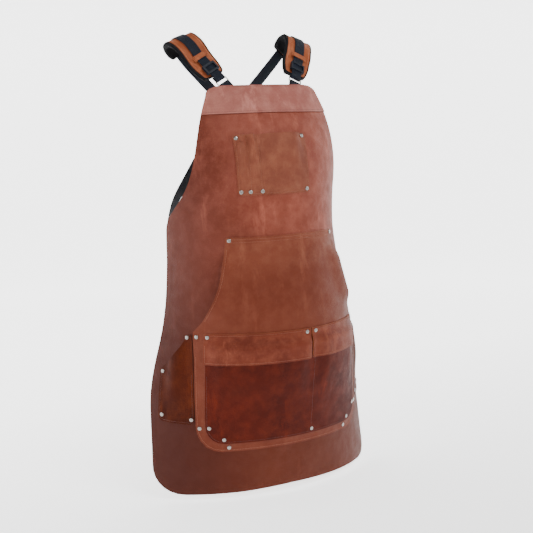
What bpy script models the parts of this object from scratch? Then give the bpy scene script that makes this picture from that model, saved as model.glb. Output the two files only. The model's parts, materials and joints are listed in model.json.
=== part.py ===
# Welding apron: split-leather bib apron with riveted patch pockets, two
# hinged pocket flaps, webbing harness with slide adjusters, padded
# shoulders and a side-release waist buckle.  Metres, +Z up, front faces -Y.
# The leather is shaped on one body form: u is the arc length round the body
# from the centre line, z the height below the bib's top edge, n the distance
# outwards from the form.
import math
import bpy
import bmesh
import numpy as np
from mathutils import Vector, Matrix
from mathutils.geometry import delaunay_2d_cdt

for _o in list(bpy.data.objects):
    bpy.data.objects.remove(_o, do_unlink=True)

# ---------------------------------------------------------------- dimensions
MM = 0.001
HOLD = Vector((0.0, 0.205, 0.100))      # shoulder support point, row origin

# body form: curvature, its growth towards the sides, and the front line,
# at six heights from hem to shoulder
FORM_Z = (-0.90, -0.70, -0.50, -0.31, -0.15, 0.02)
FORM_CURV = (2.17, 3.32, 4.36, 4.65, 4.00, 2.96)
FORM_GROW = (8.7, 0.9, -1.4, 1.5, 1.1, 0.8)
FORM_FRONT = (0.0548, 0.0243, 0.0, 0.0308, 0.0396, 0.1119)

LEATHER = 2.2 * MM
GAP = 0.4 * MM
LAYER1 = LEATHER + GAP                   # inner face of the first pocket layer
LAYER2 = 2 * (LEATHER + GAP)             # inner face of the second layer
LAYER3 = 3 * (LEATHER + GAP)

# apron blank: half width at heights down the side edge
EDGE_Z = (-0.022, -0.060, -0.120, -0.180, -0.225, -0.260, -0.290,
          -0.330, -0.420, -0.520, -0.650, -0.760, -0.830)
EDGE_U = (0.147, 0.166, 0.189, 0.209, 0.231, 0.261, 0.290,
          0.303, 0.317, 0.331, 0.350, 0.338, 0.331)
TOP_HALF = 0.104
HEM_Z = -0.896
HEM_CORNER_U = 0.250
BAND_H = 0.062

CHEST = (-0.110, 0.062, -0.2370, -0.1085)          # u0 u1 z0 z1
CHEST_DIV = (-0.0815, -0.0585)
CHEST_MOUTH = 8.6 * MM

HAND_TOP_HALF, HAND_TOP_Z = 0.144, -0.327
HAND_CORNER = (0.2405, -0.533)
HAND_LOW = (0.228, -0.735)
HAND_BOTTOM_Z = -0.7975
HAND_MOUTH = 10.0 * MM

CARGO_HALF_TOP, CARGO_HALF_LOW = 0.2125, 0.2065
CARGO_TOP_Z, CARGO_BOTTOM_Z = -0.566, -0.7785
CARGO_DIV_U = 0.0385
CARGO_MOUTH = 5.6 * MM

FLAP_TOP_Z, FLAP_FOLD_Z, FLAP_LOW_Z = -0.5330, -0.5468, -0.5990
FLAP_L = (-0.2150, 0.0245)
FLAP_R = (0.0290, 0.2150)
FOLD_GAP = 0.5 * MM

SIDE_U0, SIDE_U1 = 0.2445, 0.3235
SIDE_TIP_Z, SIDE_LOW_TIP_Z, SIDE_BOTTOM_Z = -0.5365, -0.6130, -0.7320
SIDE_MOUTH = 8.0 * MM

RIVET_CAP, RIVET_SHANK, RIVET_HOLE, RIVET_BACK = 4.5 * MM, 1.5 * MM, 2.1 * MM, 4.2 * MM
RIVET_CLEAR = 0.30 * MM

WEB, WEB_T = 25.0 * MM, 1.6 * MM
PAD_W, PAD_T, PAD_SHELL_T = 70.0 * MM, 8.5 * MM, 1.8 * MM

U_STEP = 0.020
Z_LINES = (-0.020, -0.041, -0.062, -0.085, -0.1085, -0.130, -0.151, -0.172,
           -0.194, -0.216, -0.237, -0.262, -0.292, -0.327, -0.365, -0.405,
           -0.445, -0.490, -0.533, -0.566, -0.599, -0.644, -0.689, -0.735,
           -0.7785, -0.818, -0.858)


# ---------------------------------------------------------------- body form
def natural_spline(xs, ys):
    xs, ys = np.array(xs, float), np.array(ys, float)
    n = len(xs)
    h = np.diff(xs)
    A, r = np.zeros((n, n)), np.zeros(n)
    A[0, 0] = A[-1, -1] = 1.0
    for i in range(1, n - 1):
        A[i, i - 1], A[i, i], A[i, i + 1] = h[i - 1], 2 * (h[i - 1] + h[i]), h[i]
        r[i] = 6 * ((ys[i + 1] - ys[i]) / h[i] - (ys[i] - ys[i - 1]) / h[i - 1])
    m = np.linalg.solve(A, r)

    def f(x):
        i = int(np.clip(np.searchsorted(xs, x) - 1, 0, n - 2))
        a, b = (xs[i + 1] - x) / h[i], (x - xs[i]) / h[i]
        return float(a * ys[i] + b * ys[i + 1]
                     + ((a ** 3 - a) * m[i] + (b ** 3 - b) * m[i + 1]) * h[i] ** 2 / 6)
    return f


form_curv = natural_spline(FORM_Z, FORM_CURV)
form_grow = natural_spline(FORM_Z, FORM_GROW)
form_front = natural_spline(FORM_Z, FORM_FRONT)
_edge = natural_spline(EDGE_Z[::-1], EDGE_U[::-1])


def form_point(u, z):
    c, g, t = form_curv(z), form_grow(z), abs(u)
    k = (np.arange(24) + 0.5) / 24.0 * t
    ph = c * k + g * k ** 3
    x = float(np.cos(ph).mean()) * t * (1.0 if u >= 0 else -1.0)
    y = float(np.sin(ph).mean()) * t + form_front(z)
    return Vector((x, y, z))


def form_angle(u, z):
    """Tangent angle of the horizontal line of the form at u."""
    t = abs(u)
    ph = form_curv(z) * t + form_grow(z) * t ** 3
    return ph if u >= 0 else -ph


def form_normal(u, z):
    e = 0.0004
    du = form_point(u + e, z) - form_point(u - e, z)
    dz = form_point(u, z + e) - form_point(u, z - e)
    nrm = du.cross(dz).normalized()
    return nrm if nrm.y < 0 or abs(u) > 0.2 else -nrm


def on_form(u, z, n):
    return form_point(u, z) + form_normal(u, z) * n - HOLD


# ---------------------------------------------------------------- materials
def material(name, rgb, rough, metal=0.0):
    m = bpy.data.materials.get(name)
    if m:
        return m
    m = bpy.data.materials.new(name)
    m.use_nodes = True
    b = m.node_tree.nodes.get("Principled BSDF")
    b.inputs["Base Color"].default_value = (*rgb, 1.0)
    b.inputs["Roughness"].default_value = rough
    b.inputs["Metallic"].default_value = metal
    m.diffuse_color = (*rgb, 1.0)
    return m


M_BODY = lambda: material("leather_body", (0.30, 0.11, 0.065), 0.62)
M_BAND = lambda: material("leather_band", (0.45, 0.18, 0.13), 0.60)
M_POCKET = lambda: material("leather_pocket", (0.27, 0.095, 0.05), 0.62)
M_CARGO = lambda: material("leather_cargo", (0.17, 0.06, 0.04), 0.64)
M_FLAP = lambda: material("leather_flap", (0.24, 0.075, 0.055), 0.62)
M_PAD = lambda: material("leather_pad", (0.42, 0.14, 0.06), 0.60)
M_FOAM = lambda: material("pad_fabric", (0.012, 0.012, 0.016), 0.85)
M_WEB = lambda: material("webbing", (0.010, 0.014, 0.022), 0.80)
M_STEEL = lambda: material("nickel_steel", (0.72, 0.71, 0.69), 0.25, 1.0)
M_PLASTIC = lambda: material("buckle_plastic", (0.015, 0.017, 0.022), 0.40)


# ---------------------------------------------------------------- mesh helpers
def make_object(name, verts, faces, mat, smooth=False):
    me = bpy.data.meshes.new(name)
    me.from_pydata([tuple(v) for v in verts], [], faces)
    bm = bmesh.new()
    bm.from_mesh(me)
    bmesh.ops.remove_doubles(bm, verts=bm.verts, dist=0.000002)
    bmesh.ops.recalc_face_normals(bm, faces=bm.faces)
    if sum(f.calc_area() * f.normal.dot(f.calc_center_median()) for f in bm.faces) < 0:
        bmesh.ops.reverse_faces(bm, faces=bm.faces)
    bm.to_mesh(me)
    bm.free()
    me.materials.append(mat)
    for p in me.polygons:
        p.use_smooth = smooth
    ob = bpy.data.objects.new(name, me)
    bpy.context.scene.collection.objects.link(ob)
    return ob


def inside(poly, p):
    x, y = p
    hit = False
    j = len(poly) - 1
    for i in range(len(poly)):
        xi, yi = poly[i]
        xj, yj = poly[j]
        if (yi > y) != (yj > y) and x < (xj - xi) * (y - yi) / (yj - yi) + xi:
            hit = not hit
        j = i
    return hit


def circle(u, z, r, n=8, turn=0.5):
    return [(u + r * math.cos(2 * math.pi * (k + turn) / n),
             z + r * math.sin(2 * math.pi * (k + turn) / n)) for k in range(n)]


SHEAR = 0.13


def triangulate(outline, holes, rings=(), extra_u=()):
    """Pattern piece cut along the shared form lines, so that every layer
    bends at the same lines."""
    pts, edges = [], []

    def loop(ring):
        base = len(pts)
        pts.extend(ring)
        edges.extend((base + i, base + (i + 1) % len(ring)) for i in range(len(ring)))

    loop(outline)
    for h in list(holes) + list(rings):
        loop(h)
    us, zs = [p[0] for p in outline], [p[1] for p in outline]
    u0, u1, z0, z1 = min(us), max(us), min(zs), max(zs)
    k = math.ceil((u0 + 0.004) / U_STEP)
    lines = []
    while k * U_STEP < u1 - 0.004:
        lines.append(((k * U_STEP, z0 - 0.01), (k * U_STEP, z1 + 0.01)))
        k += 1
    for u in extra_u:
        lines.append(((u, z0 - 0.01), (u, z1 + 0.01)))
    for z in Z_LINES:
        if z0 + 0.004 < z < z1 - 0.004:
            lines.append(((u0 - 0.01, z), (u1 + 0.01, z)))
    for a, b in lines:
        base = len(pts)
        pts.extend([a, b])
        edges.append((base, base + 1))
    flat = [Vector((p[0] + SHEAR * p[1], p[1])) for p in pts]
    vs, _e, fs, _a, _b, _c = delaunay_2d_cdt(flat, edges, [], 0, 0.0002)
    vs = [(v.x - SHEAR * v.y, v.y) for v in vs]
    out = []
    for f in fs:
        cx = sum(vs[i][0] for i in f) / 3.0
        cy = sum(vs[i][1] for i in f) / 3.0
        if not inside(outline, (cx, cy)):
            continue
        if any(inside(h, (cx, cy)) for h in holes):
            continue
        out.append(tuple(f))
    used = sorted({i for f in out for i in f})
    new = {o: i for i, o in enumerate(used)}
    return [vs[i] for i in used], [tuple(new[i] for i in f) for f in out]


def panel(name, mat, outline, n_in, lift=None, rivets=(), thick=LEATHER, extra_u=()):
    holes = [circle(u, z, RIVET_HOLE) for u, z in rivets]
    rings = [circle(u, z, RIVET_CAP + 0.9 * MM) for u, z in rivets] if lift else ()
    uv, tris = triangulate(outline, holes, rings, extra_u)
    lift = lift or (lambda u, z: 0.0)
    back = [on_form(u, z, n_in + lift(u, z)) for u, z in uv]
    front = [on_form(u, z, n_in + lift(u, z) + thick) for u, z in uv]
    n = len(uv)
    count = {}
    faces = []
    for t in tris:
        faces.append(tuple(n + i for i in t))
        faces.append(tuple(reversed(t)))
        for i in range(3):
            a, b = t[i], t[(i + 1) % 3]
            key = (min(a, b), max(a, b))
            if key in count:
                count[key] = None
            else:
                count[key] = (a, b)
    for e in count.values():
        if e:
            a, b = e
            faces.append((a, b, n + b, n + a))
    return make_object(name, back + front, faces, mat)


def revolve(name, mat, profile, origin, axis, segs=10, smooth=True):
    """profile: (radius, height) pairs from pole to pole along the axis."""
    q = Vector((0, 0, 1)).rotation_difference(axis)
    verts, faces, rings = [], [], []
    for r, h in profile:
        if r <= 1e-9:
            verts.append(Vector((0, 0, h)))
            rings.append([len(verts) - 1] * segs)
        else:
            ring = []
            for k in range(segs):
                a = 2 * math.pi * k / segs
                verts.append(Vector((r * math.cos(a), r * math.sin(a), h)))
                ring.append(len(verts) - 1)
            rings.append(ring)
    for a, b in zip(rings, rings[1:]):
        for k in range(segs):
            l = (k + 1) % segs
            f = [a[k], a[l], b[l], b[k]]
            g = [v for i, v in enumerate(f) if v not in f[:i]]
            if len(g) > 2:
                faces.append(tuple(g))
    verts = [q @ v + origin for v in verts]
    return make_object(name, verts, faces, mat, smooth)


def rivet(name, u, z, top):
    """Domed rivet: cap on the outer leather, shank through the layers,
    flat burr on the inside."""
    n0, n1 = -RIVET_CLEAR, top + RIVET_CLEAR
    prof = [(0.0, n1 + 1.8 * MM), (2.6 * MM, n1 + 1.45 * MM), (RIVET_CAP, n1 + 0.35 * MM),
            (RIVET_CAP, n1), (RIVET_SHANK, n1), (RIVET_SHANK, n0),
            (RIVET_BACK, n0), (RIVET_BACK, n0 - 0.7 * MM), (0.0, n0 - 1.0 * MM)]
    return revolve(name, M_STEEL(), prof[::-1], form_point(u, z) - HOLD, form_normal(u, z))


def sweep(name, mat, centres, wides, normals, section, closed=False, smooth=False, cap=True):
    """section(i) gives (w, n) pairs of the closed profile at station i."""
    verts, faces = [], []
    m = len(section(0))
    for i, (c, w, nn) in enumerate(zip(centres, wides, normals)):
        for a, b in section(i):
            verts.append(c + w * a + nn * b)
    k = len(centres)
    for i in range(k if closed else k - 1):
        j = (i + 1) % k
        for a in range(m):
            b = (a + 1) % m
            faces.append((i * m + a, i * m + b, j * m + b, j * m + a))
    if not closed and cap:
        faces.append(tuple(reversed(range(m))))
        faces.append(tuple((k - 1) * m + a for a in range(m)))
    return make_object(name, verts, faces, mat, smooth)


def ribbon(name, mat, pts, normals, width, thick, n0=0.0, width_dir=None):
    """Flat webbing: rectangle width x thick, its inner face n0 off the path."""
    cs = [Vector(p) for p in pts]
    ws, ns = [], []
    for i in range(len(cs)):
        t = (cs[min(i + 1, len(cs) - 1)] - cs[max(i - 1, 0)]).normalized()
        nn = Vector(normals[i])
        if width_dir is not None:
            w = Vector(width_dir).normalized()
            nn = w.cross(t).normalized() if w.cross(t).dot(nn) > 0 else t.cross(w).normalized()
        else:
            nn = (nn - t * nn.dot(t)).normalized()
            w = t.cross(nn).normalized()
        ws.append(w)
        ns.append(nn)
    sec = [(-width / 2, n0), (width / 2, n0), (width / 2, n0 + thick), (-width / 2, n0 + thick)]
    return sweep(name, mat, [c - HOLD for c in cs], ws, ns, lambda i: sec)


def smooth_path(keys, step):
    """Catmull-Rom points about step apart through the keys; each key is
    position and normal."""
    P = [Vector(k[0]) for k in keys]
    N = [Vector(k[1]) for k in keys]
    P = [P[0] * 2 - P[1]] + P + [P[-1] * 2 - P[-2]]
    N = [N[0]] + N + [N[-1]]
    pts, nrm = [], []
    for i in range(1, len(P) - 2):
        L = (P[i + 1] - P[i]).length
        k = max(1, int(round(L / step)))
        for j in range(k):
            t = j / k
            pts.append(0.5 * ((2 * P[i]) + (P[i + 1] - P[i - 1]) * t
                              + (2 * P[i - 1] - 5 * P[i] + 4 * P[i + 1] - P[i + 2]) * t * t
                              + (3 * P[i] - P[i - 1] - 3 * P[i + 1] + P[i + 2]) * t ** 3))
            nrm.append((N[i] * (1 - t) + N[i + 1] * t).normalized())
    pts.append(P[-2])
    nrm.append(N[-2].normalized())
    return pts, nrm


def tube_loop(name, mat, corners, r, bend, segs=8, arc=3, smooth=True):
    """Round wire bent to a closed flat frame through the corner points."""
    cs = [Vector(c) for c in corners]
    n = len(cs)
    nrm = (cs[1] - cs[0]).cross(cs[2] - cs[1]).normalized()
    pts = []
    for i in range(n):
        p, a, b = cs[i], cs[i - 1], cs[(i + 1) % n]
        da, db = (a - p).normalized(), (b - p).normalized()
        ang = da.angle(db)
        d = bend / math.tan(ang / 2)
        ctr = p + (da + db).normalized() * (bend / math.sin(ang / 2))
        s, e = p + da * d - ctr, p + db * d - ctr
        for k in range(arc + 1):
            t = k / arc
            v = s * (1 - t) + e * t
            pts.append(ctr + v.normalized() * bend)
    ws, ns = [], []
    for i in range(len(pts)):
        t = (pts[(i + 1) % len(pts)] - pts[i - 1]).normalized()
        ns.append(nrm)
        ws.append(t.cross(nrm).normalized())
    sec = [(r * math.cos(2 * math.pi * k / segs), r * math.sin(2 * math.pi * k / segs))
           for k in range(segs)]
    return sweep(name, mat, [p - HOLD for p in pts], ws, ns, lambda i: sec, closed=True,
                 smooth=smooth)


def box_mesh(name, lo, hi):
    me = bpy.data.meshes.new(name)
    vs = [(x, y, z) for x in (lo[0], hi[0]) for y in (lo[1], hi[1]) for z in (lo[2], hi[2])]
    fs = [(0, 1, 3, 2), (4, 6, 7, 5), (0, 4, 5, 1), (2, 3, 7, 6), (0, 2, 6, 4), (1, 5, 7, 3)]
    me.from_pydata(vs, [], fs)
    ob = bpy.data.objects.new(name, me)
    bpy.context.scene.collection.objects.link(ob)
    return ob


def carved(name, mat, base, steps, frame):
    """Box with boxes joined on or cut away, in mm, then placed by frame."""
    ob = box_mesh(name + "_base", [v * MM for v in base[0]], [v * MM for v in base[1]])
    tools = []
    for k, (kind, lo, hi) in enumerate(steps):
        t = box_mesh(name + "_tool%d" % k, [v * MM for v in lo], [v * MM for v in hi])
        tools.append(t)
        md = ob.modifiers.new("step%d" % k, "BOOLEAN")
        md.operation = "DIFFERENCE" if kind == "cut" else "UNION"
        md.solver = "EXACT"
        md.object = t
    dg = bpy.context.evaluated_depsgraph_get()
    dg.update()
    me = bpy.data.meshes.new_from_object(ob.evaluated_get(dg))
    verts = [frame @ v.co for v in me.vertices]
    faces = [tuple(p.vertices) for p in me.polygons]
    for t in tools + [ob]:
        bpy.data.objects.remove(t, do_unlink=True)
    return make_object(name, verts, faces, mat)


def place(origin, x_axis, y_axis):
    """Matrix with columns x, y, x cross y at origin."""
    x = Vector(x_axis).normalized()
    y = Vector(y_axis)
    y = (y - x * y.dot(x)).normalized()
    z = x.cross(y)
    m = Matrix((x, y, z)).transposed().to_4x4()
    m.translation = Vector(origin) - HOLD
    return m


def step01(x, a, b):
    t = min(max((x - a) / (b - a), 0.0), 1.0)
    return t * t * (3 - 2 * t)


def arc_corner(c, r, a0, a1, n=5):
    return [(c[0] + r * math.cos(math.radians(a0 + (a1 - a0) * k / n)),
             c[1] + r * math.sin(math.radians(a0 + (a1 - a0) * k / n))) for k in range(n + 1)]


def mirrored(half):
    """Right half from top to bottom, closed with its mirror image."""
    return half + [(-u, z) for u, z in reversed(half) if abs(u) > 1e-6]


# ---------------------------------------------------------------- leather
def apron_half(inset=0.0, low=None):
    pts = [(0.0, 0.0 - inset)]
    for k in range(5):                                   # rounded bib corner
        a = math.radians(90 * k / 4)
        pts.append((TOP_HALF - inset + (EDGE_U[0] - TOP_HALF) * math.sin(a),
                    EDGE_Z[0] * (1 - math.cos(a)) - inset * (1 - math.sin(a))))
    z = EDGE_Z[0]
    while z > EDGE_Z[-1] + 0.001:
        z = max(z - (0.012 if z > -0.30 else 0.030), EDGE_Z[-1])
        if low is not None and z < low + 0.004:
            break
        pts.append((_edge(z) - inset, z))
    if low is not None:
        pts.append((_edge(low) - inset, low))
        pts.append((0.0, low))
        return pts
    for k in range(1, 8):                                # large hem corner
        a = math.radians(90 * k / 7)
        pts.append((HEM_CORNER_U + (EDGE_U[-1] - HEM_CORNER_U) * math.cos(a),
                    EDGE_Z[-1] + (HEM_Z + 0.001 - EDGE_Z[-1]) * math.sin(a)))
    pts.append((0.12, HEM_Z + 0.001))
    pts.append((0.0, HEM_Z + 0.004))
    return pts


R_CHEST = [(-0.1035, -0.1150), (0.0535, -0.1150), (-0.1035, -0.2295), (-0.0835, -0.2295),
           (-0.0575, -0.2295), (0.0535, -0.2295)]
R_HAND_TOP = [(-0.1360, -0.3335), (0.1360, -0.3335)]
R_HAND_CORNER = [(-0.2325, -0.5400), (0.2325, -0.5400)]
R_FLAP = [(-0.2060, -0.5399), (0.0150, -0.5399), (0.0380, -0.5399), (0.2060, -0.5399)]
R_CARGO = [(-0.1975, -0.7420), (-0.1650, -0.7690), (CARGO_DIV_U + 0.002, -0.7690),
           (0.1650, -0.7690), (0.1975, -0.7420)]
R_HAND_LOW = [(-0.2190, -0.7430), (-0.1540, -0.7880), (0.1540, -0.7880), (0.2190, -0.7430)]

all_body = R_CHEST + R_HAND_TOP + R_HAND_CORNER + R_FLAP + R_CARGO + R_HAND_LOW
panel("apron_body", M_BODY(), mirrored(apron_half()), 0.0, rivets=all_body)
panel("bib_top_band", M_BAND(), mirrored(apron_half(0.0006, -BAND_H)), LAYER1)

# chest pocket: two pen channels and one wide pocket, open at the top
u0, u1, z0, z1 = CHEST
chest_outline = [(u0 + 0.003, z1), (u1 - 0.003, z1), (u1, z1 - 0.003), (u1, z0 + 0.006),
                 (u1 - 0.006, z0), (u0 + 0.006, z0), (u0, z0 + 0.006), (u0, z1 - 0.003)]


def chest_lift(u, z):
    a, b = CHEST_DIV
    if u < a:
        c, h, k = (u0 + a) / 2 + 0.0015, (a - u0) / 2 - 0.004, 1.0
    elif u < b:
        c, h, k = (a + b) / 2, (b - a) / 2 - 0.0015, 0.93
    else:
        c, h, k = (b + u1) / 2, (u1 - b) / 2 - 0.004, 0.80
    t = abs(u - c) / h
    if t >= 1:
        return 0.0
    prof = math.cos(t * math.pi / 2) ** 2 if k > 0.9 else step01(1 - t, 0.0, 0.55)
    down = step01(z, z0 + 0.018, z1 - 0.030) if k > 0.9 else step01(z, z0 + 0.02, z1)
    near = min(math.hypot(u - ru, z - rz) for ru, rz in R_CHEST)
    near = step01(near, 0.0065, 0.0150)
    return CHEST_MOUTH * k * prof * down * near


# hand pocket: wide pocket entered from both slanted sides
def hand_half():
    # slanted hand opening: almost upright below the top rivet, then sweeping
    # out to the corner rivet
    p = [(0.0, HAND_TOP_Z), (HAND_TOP_HALF - 0.003, HAND_TOP_Z), (HAND_TOP_HALF, HAND_TOP_Z - 0.003)]
    k = 9
    for i in range(1, k + 1):
        t = i / k
        z = HAND_TOP_Z - 0.003 + (HAND_CORNER[1] + 0.004 - HAND_TOP_Z + 0.003) * t
        p.append((HAND_TOP_HALF + (HAND_CORNER[0] - HAND_TOP_HALF) * (0.36 * t + 0.64 * t ** 3.2), z))
    p.append((HAND_CORNER[0] + 0.0012, HAND_CORNER[1] - 0.004))
    for i in range(1, 4):
        t = i / 4
        p.append((HAND_CORNER[0] + 0.001 + (HAND_LOW[0] - HAND_CORNER[0]) * t,
                  HAND_CORNER[1] + (HAND_LOW[1] - HAND_CORNER[1]) * t))
    r = HAND_LOW[1] - HAND_BOTTOM_Z
    for i in range(0, 6):
        a = math.radians(90 * i / 5)
        p.append((HAND_LOW[0] - 0.060 * (1 - math.cos(a)), HAND_LOW[1] - r * math.sin(a)))
    p.append((0.0, HAND_BOTTOM_Z))
    return p


def hand_side_u(z):
    t = (HAND_TOP_Z - 0.003 - z) / (HAND_TOP_Z - 0.003 - HAND_CORNER[1] - 0.004)
    t = min(max(t, 0.0), 1.0)
    return HAND_TOP_HALF + (HAND_CORNER[0] - HAND_TOP_HALF) * (0.36 * t + 0.64 * t ** 3.2)


def hand_lift(u, z):
    along = step01(z, HAND_CORNER[1] + 0.022, -0.475) * (1 - step01(z, -0.400, HAND_TOP_Z - 0.022))
    d = hand_side_u(z) - abs(u)
    return HAND_MOUTH * along * (1 - step01(d, 0.004, 0.060))


hand_rivets = R_HAND_TOP + R_HAND_CORNER + R_FLAP + R_CARGO + R_HAND_LOW


# cargo pocket: two compartments under the flaps
def cargo_outline():
    half = [(0.0, CARGO_TOP_Z), (CARGO_HALF_TOP - 0.002, CARGO_TOP_Z),
            (CARGO_HALF_TOP, CARGO_TOP_Z - 0.002)]
    for i in range(1, 4):
        t = i / 3
        half.append((CARGO_HALF_TOP + (CARGO_HALF_LOW - CARGO_HALF_TOP) * t,
                     CARGO_TOP_Z + (-0.735 - CARGO_TOP_Z) * t))
    r = -0.735 - CARGO_BOTTOM_Z
    for i in range(1, 6):
        a = math.radians(90 * i / 5)
        half.append((CARGO_HALF_LOW - 0.042 * (1 - math.cos(a)), -0.735 - r * math.sin(a)))
    half.append((0.0, CARGO_BOTTOM_Z))
    return mirrored(half)


def mouth(u, a, b, ramp):
    return step01(u, a, a + ramp) * (1 - step01(u, b - ramp, b))


def cargo_lift(u, z):
    a = mouth(u, -CARGO_HALF_TOP + 0.008, CARGO_DIV_U - 0.007, 0.034)
    b = mouth(u, CARGO_DIV_U + 0.007, CARGO_HALF_TOP - 0.008, 0.034)
    return CARGO_MOUTH * max(a, b) * step01(z, -0.715, -0.620)


def flap_lift(u, z):
    """The flap hangs clear of the cargo pocket's mouth."""
    rise = 1 - step01(z, CARGO_TOP_Z + 0.002, FLAP_FOLD_Z + 0.001)
    a = mouth(u, -CARGO_HALF_TOP + 0.000, CARGO_DIV_U + 0.004, 0.034)
    b = mouth(u, CARGO_DIV_U - 0.004, CARGO_HALF_TOP - 0.000, 0.034)
    m = max(a, b)
    return rise * (LAYER3 - LAYER2 + 0.0004 + (CARGO_MOUTH + 0.0004) * m)


def side_half(sign):
    pts = [(SIDE_U0, SIDE_TIP_Z), (SIDE_U0 + 0.010, SIDE_TIP_Z - 0.001),
           (SIDE_U0 + 0.016, SIDE_TIP_Z - 0.010)]
    for i in range(1, 5):
        t = i / 4
        pts.append((SIDE_U0 + 0.016 + (SIDE_U1 - SIDE_U0 - 0.018) * (0.55 * t + 0.45 * t * t),
                    SIDE_TIP_Z - 0.010 + (SIDE_LOW_TIP_Z - SIDE_TIP_Z + 0.010) * t))
    pts += [(SIDE_U1, SIDE_LOW_TIP_Z - 0.006), (SIDE_U1 - 0.001, -0.665), (SIDE_U1 - 0.004, -0.716)]
    pts += [(SIDE_U1 - 0.006, SIDE_BOTTOM_Z + 0.008), (SIDE_U1 - 0.014, SIDE_BOTTOM_Z + 0.002),
            (SIDE_U1 - 0.040, SIDE_BOTTOM_Z - 0.001), (SIDE_U0 - 0.006, SIDE_BOTTOM_Z - 0.003),
            (SIDE_U0 - 0.0125, SIDE_BOTTOM_Z + 0.004), (SIDE_U0 - 0.0118, -0.700),
            (SIDE_U0 - 0.0060, -0.620)]
    return [(sign * u, z) for u, z in pts]


def side_lift(u, z):
    t = (abs(u) - SIDE_U0 - 0.010) / (SIDE_U1 - SIDE_U0 - 0.020)
    if t <= 0 or t >= 1:
        return 0.0
    return SIDE_MOUTH * math.sin(math.pi * t) ** 2 * step01(z, -0.705, -0.625)


chest_folds = ((u0 + CHEST_DIV[0]) / 2 - 0.0022, (u0 + CHEST_DIV[0]) / 2 + 0.0042, sum(CHEST_DIV) / 2)
panel("chest_pocket", M_POCKET(), chest_outline, LAYER1, chest_lift, R_CHEST, extra_u=chest_folds)
panel("hand_pocket", M_POCKET(), mirrored(hand_half()), LAYER1, hand_lift, hand_rivets)
panel("cargo_pocket", M_CARGO(), cargo_outline(), LAYER2, cargo_lift, R_CARGO)
for side, (fa, fb), rv in (("left", FLAP_L, R_FLAP[:2]), ("right", FLAP_R, R_FLAP[2:])):
    band = [(fa, FLAP_FOLD_Z), (fb, FLAP_FOLD_Z), (fb, FLAP_TOP_Z), (fa, FLAP_TOP_Z)]
    panel("flap_band_" + side, M_FLAP(), band, LAYER2, None, rv)
    top = FLAP_FOLD_Z - FOLD_GAP
    fl = [(fa + 0.002, FLAP_LOW_Z), (fb - 0.002, FLAP_LOW_Z), (fb, FLAP_LOW_Z + 0.003),
          (fb, top), (fa, top), (fa, FLAP_LOW_Z + 0.003)]
    ob = panel("flap_" + side, M_FLAP(), fl, LAYER2, flap_lift)
    um = (fa + fb) / 2
    axis_at = on_form(um, FLAP_FOLD_Z - FOLD_GAP / 2, LAYER2 + LEATHER)
    ob.data.transform(Matrix.Translation(-axis_at))
    ob.location = axis_at
for side, s in (("left", -1), ("right", 1)):
    panel("side_pocket_" + side, M_POCKET(), side_half(s), LAYER1, side_lift)

k = 0
for group, top, tag in ((R_CHEST, LAYER1 + LEATHER, "chest"), (R_HAND_TOP, LAYER1 + LEATHER, "hand_top"),
                        (R_HAND_CORNER, LAYER1 + LEATHER, "hand_corner"),
                        (R_FLAP, LAYER2 + LEATHER, "flap"), (R_CARGO, LAYER2 + LEATHER, "cargo"),
                        (R_HAND_LOW, LAYER1 + LEATHER, "hand_low")):
    for i, (u, z) in enumerate(group):
        rivet("rivet_%s_%d" % (tag, i + 1), u, z, top)


# ---------------------------------------------------------------- harness
RING_R, RING_IN_W = 1.3 * MM, 27.0 * MM
LOOP_R = RING_R + 1.25 * MM              # inside of a webbing loop round a ring bar

RING_LOW = Vector((0.0905, 0.1275, 0.0060))        # ring's lower bar centre
WEB_DIR = Vector((0.0270, 0.0300, 0.0430)).normalized()   # front webbing, ring to pad
WEB_WIDE = Vector((0.92, -0.10, -0.34))
RING_H = 14.5 * MM
STRAIGHT = 63.0 * MM
JOIN = 72.0 * MM                          # where the back strap takes over, under the keeper
SLIDE_AT = 32.0 * MM


def flip(v, s):
    return Vector((v[0] * s, v[1], v[2]))


def harness_frame(s):
    t = flip(WEB_DIR, s)
    w = flip(WEB_WIDE, s)
    w = (w - t * w.dot(t)).normalized()
    n = w.cross(t) if s > 0 else t.cross(w)
    if n.y > 0:
        n = -n
    return t, w, n


def fold_path(bar, t, n, r_mid, length_a, length_b, off=0.0, steps=6):
    """Centreline of webbing that comes down along -t on the outer side of the
    bar, turns round it and goes back up on the inner side."""
    pts, nrm = [], []
    ka = max(1, int(length_a / (9 * MM)))
    for k in range(ka):
        pts.append(bar + n * r_mid + t * (length_a * (1 - k / float(ka))))
        nrm.append(n)
    for k in range(steps + 1):
        a = math.pi * k / steps
        d = n * math.cos(a) - t * math.sin(a)
        pts.append(bar + d * r_mid)
        nrm.append(d)
    kb = max(1, int(length_b / (9 * MM)))
    for k in range(1, kb + 1):
        pts.append(bar - n * r_mid + t * (length_b * k / float(kb)))
        nrm.append(-n)
    return pts, nrm


def ribbon_w(name, mat, pts, nrm, w, width, thick, n0):
    """Webbing with one fixed width direction."""
    sec = [(-width / 2, n0), (width / 2, n0), (width / 2, n0 + thick), (-width / 2, n0 + thick)]
    return sweep(name, mat, [p - HOLD for p in pts], [w] * len(pts), nrm, lambda i: sec)


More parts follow.
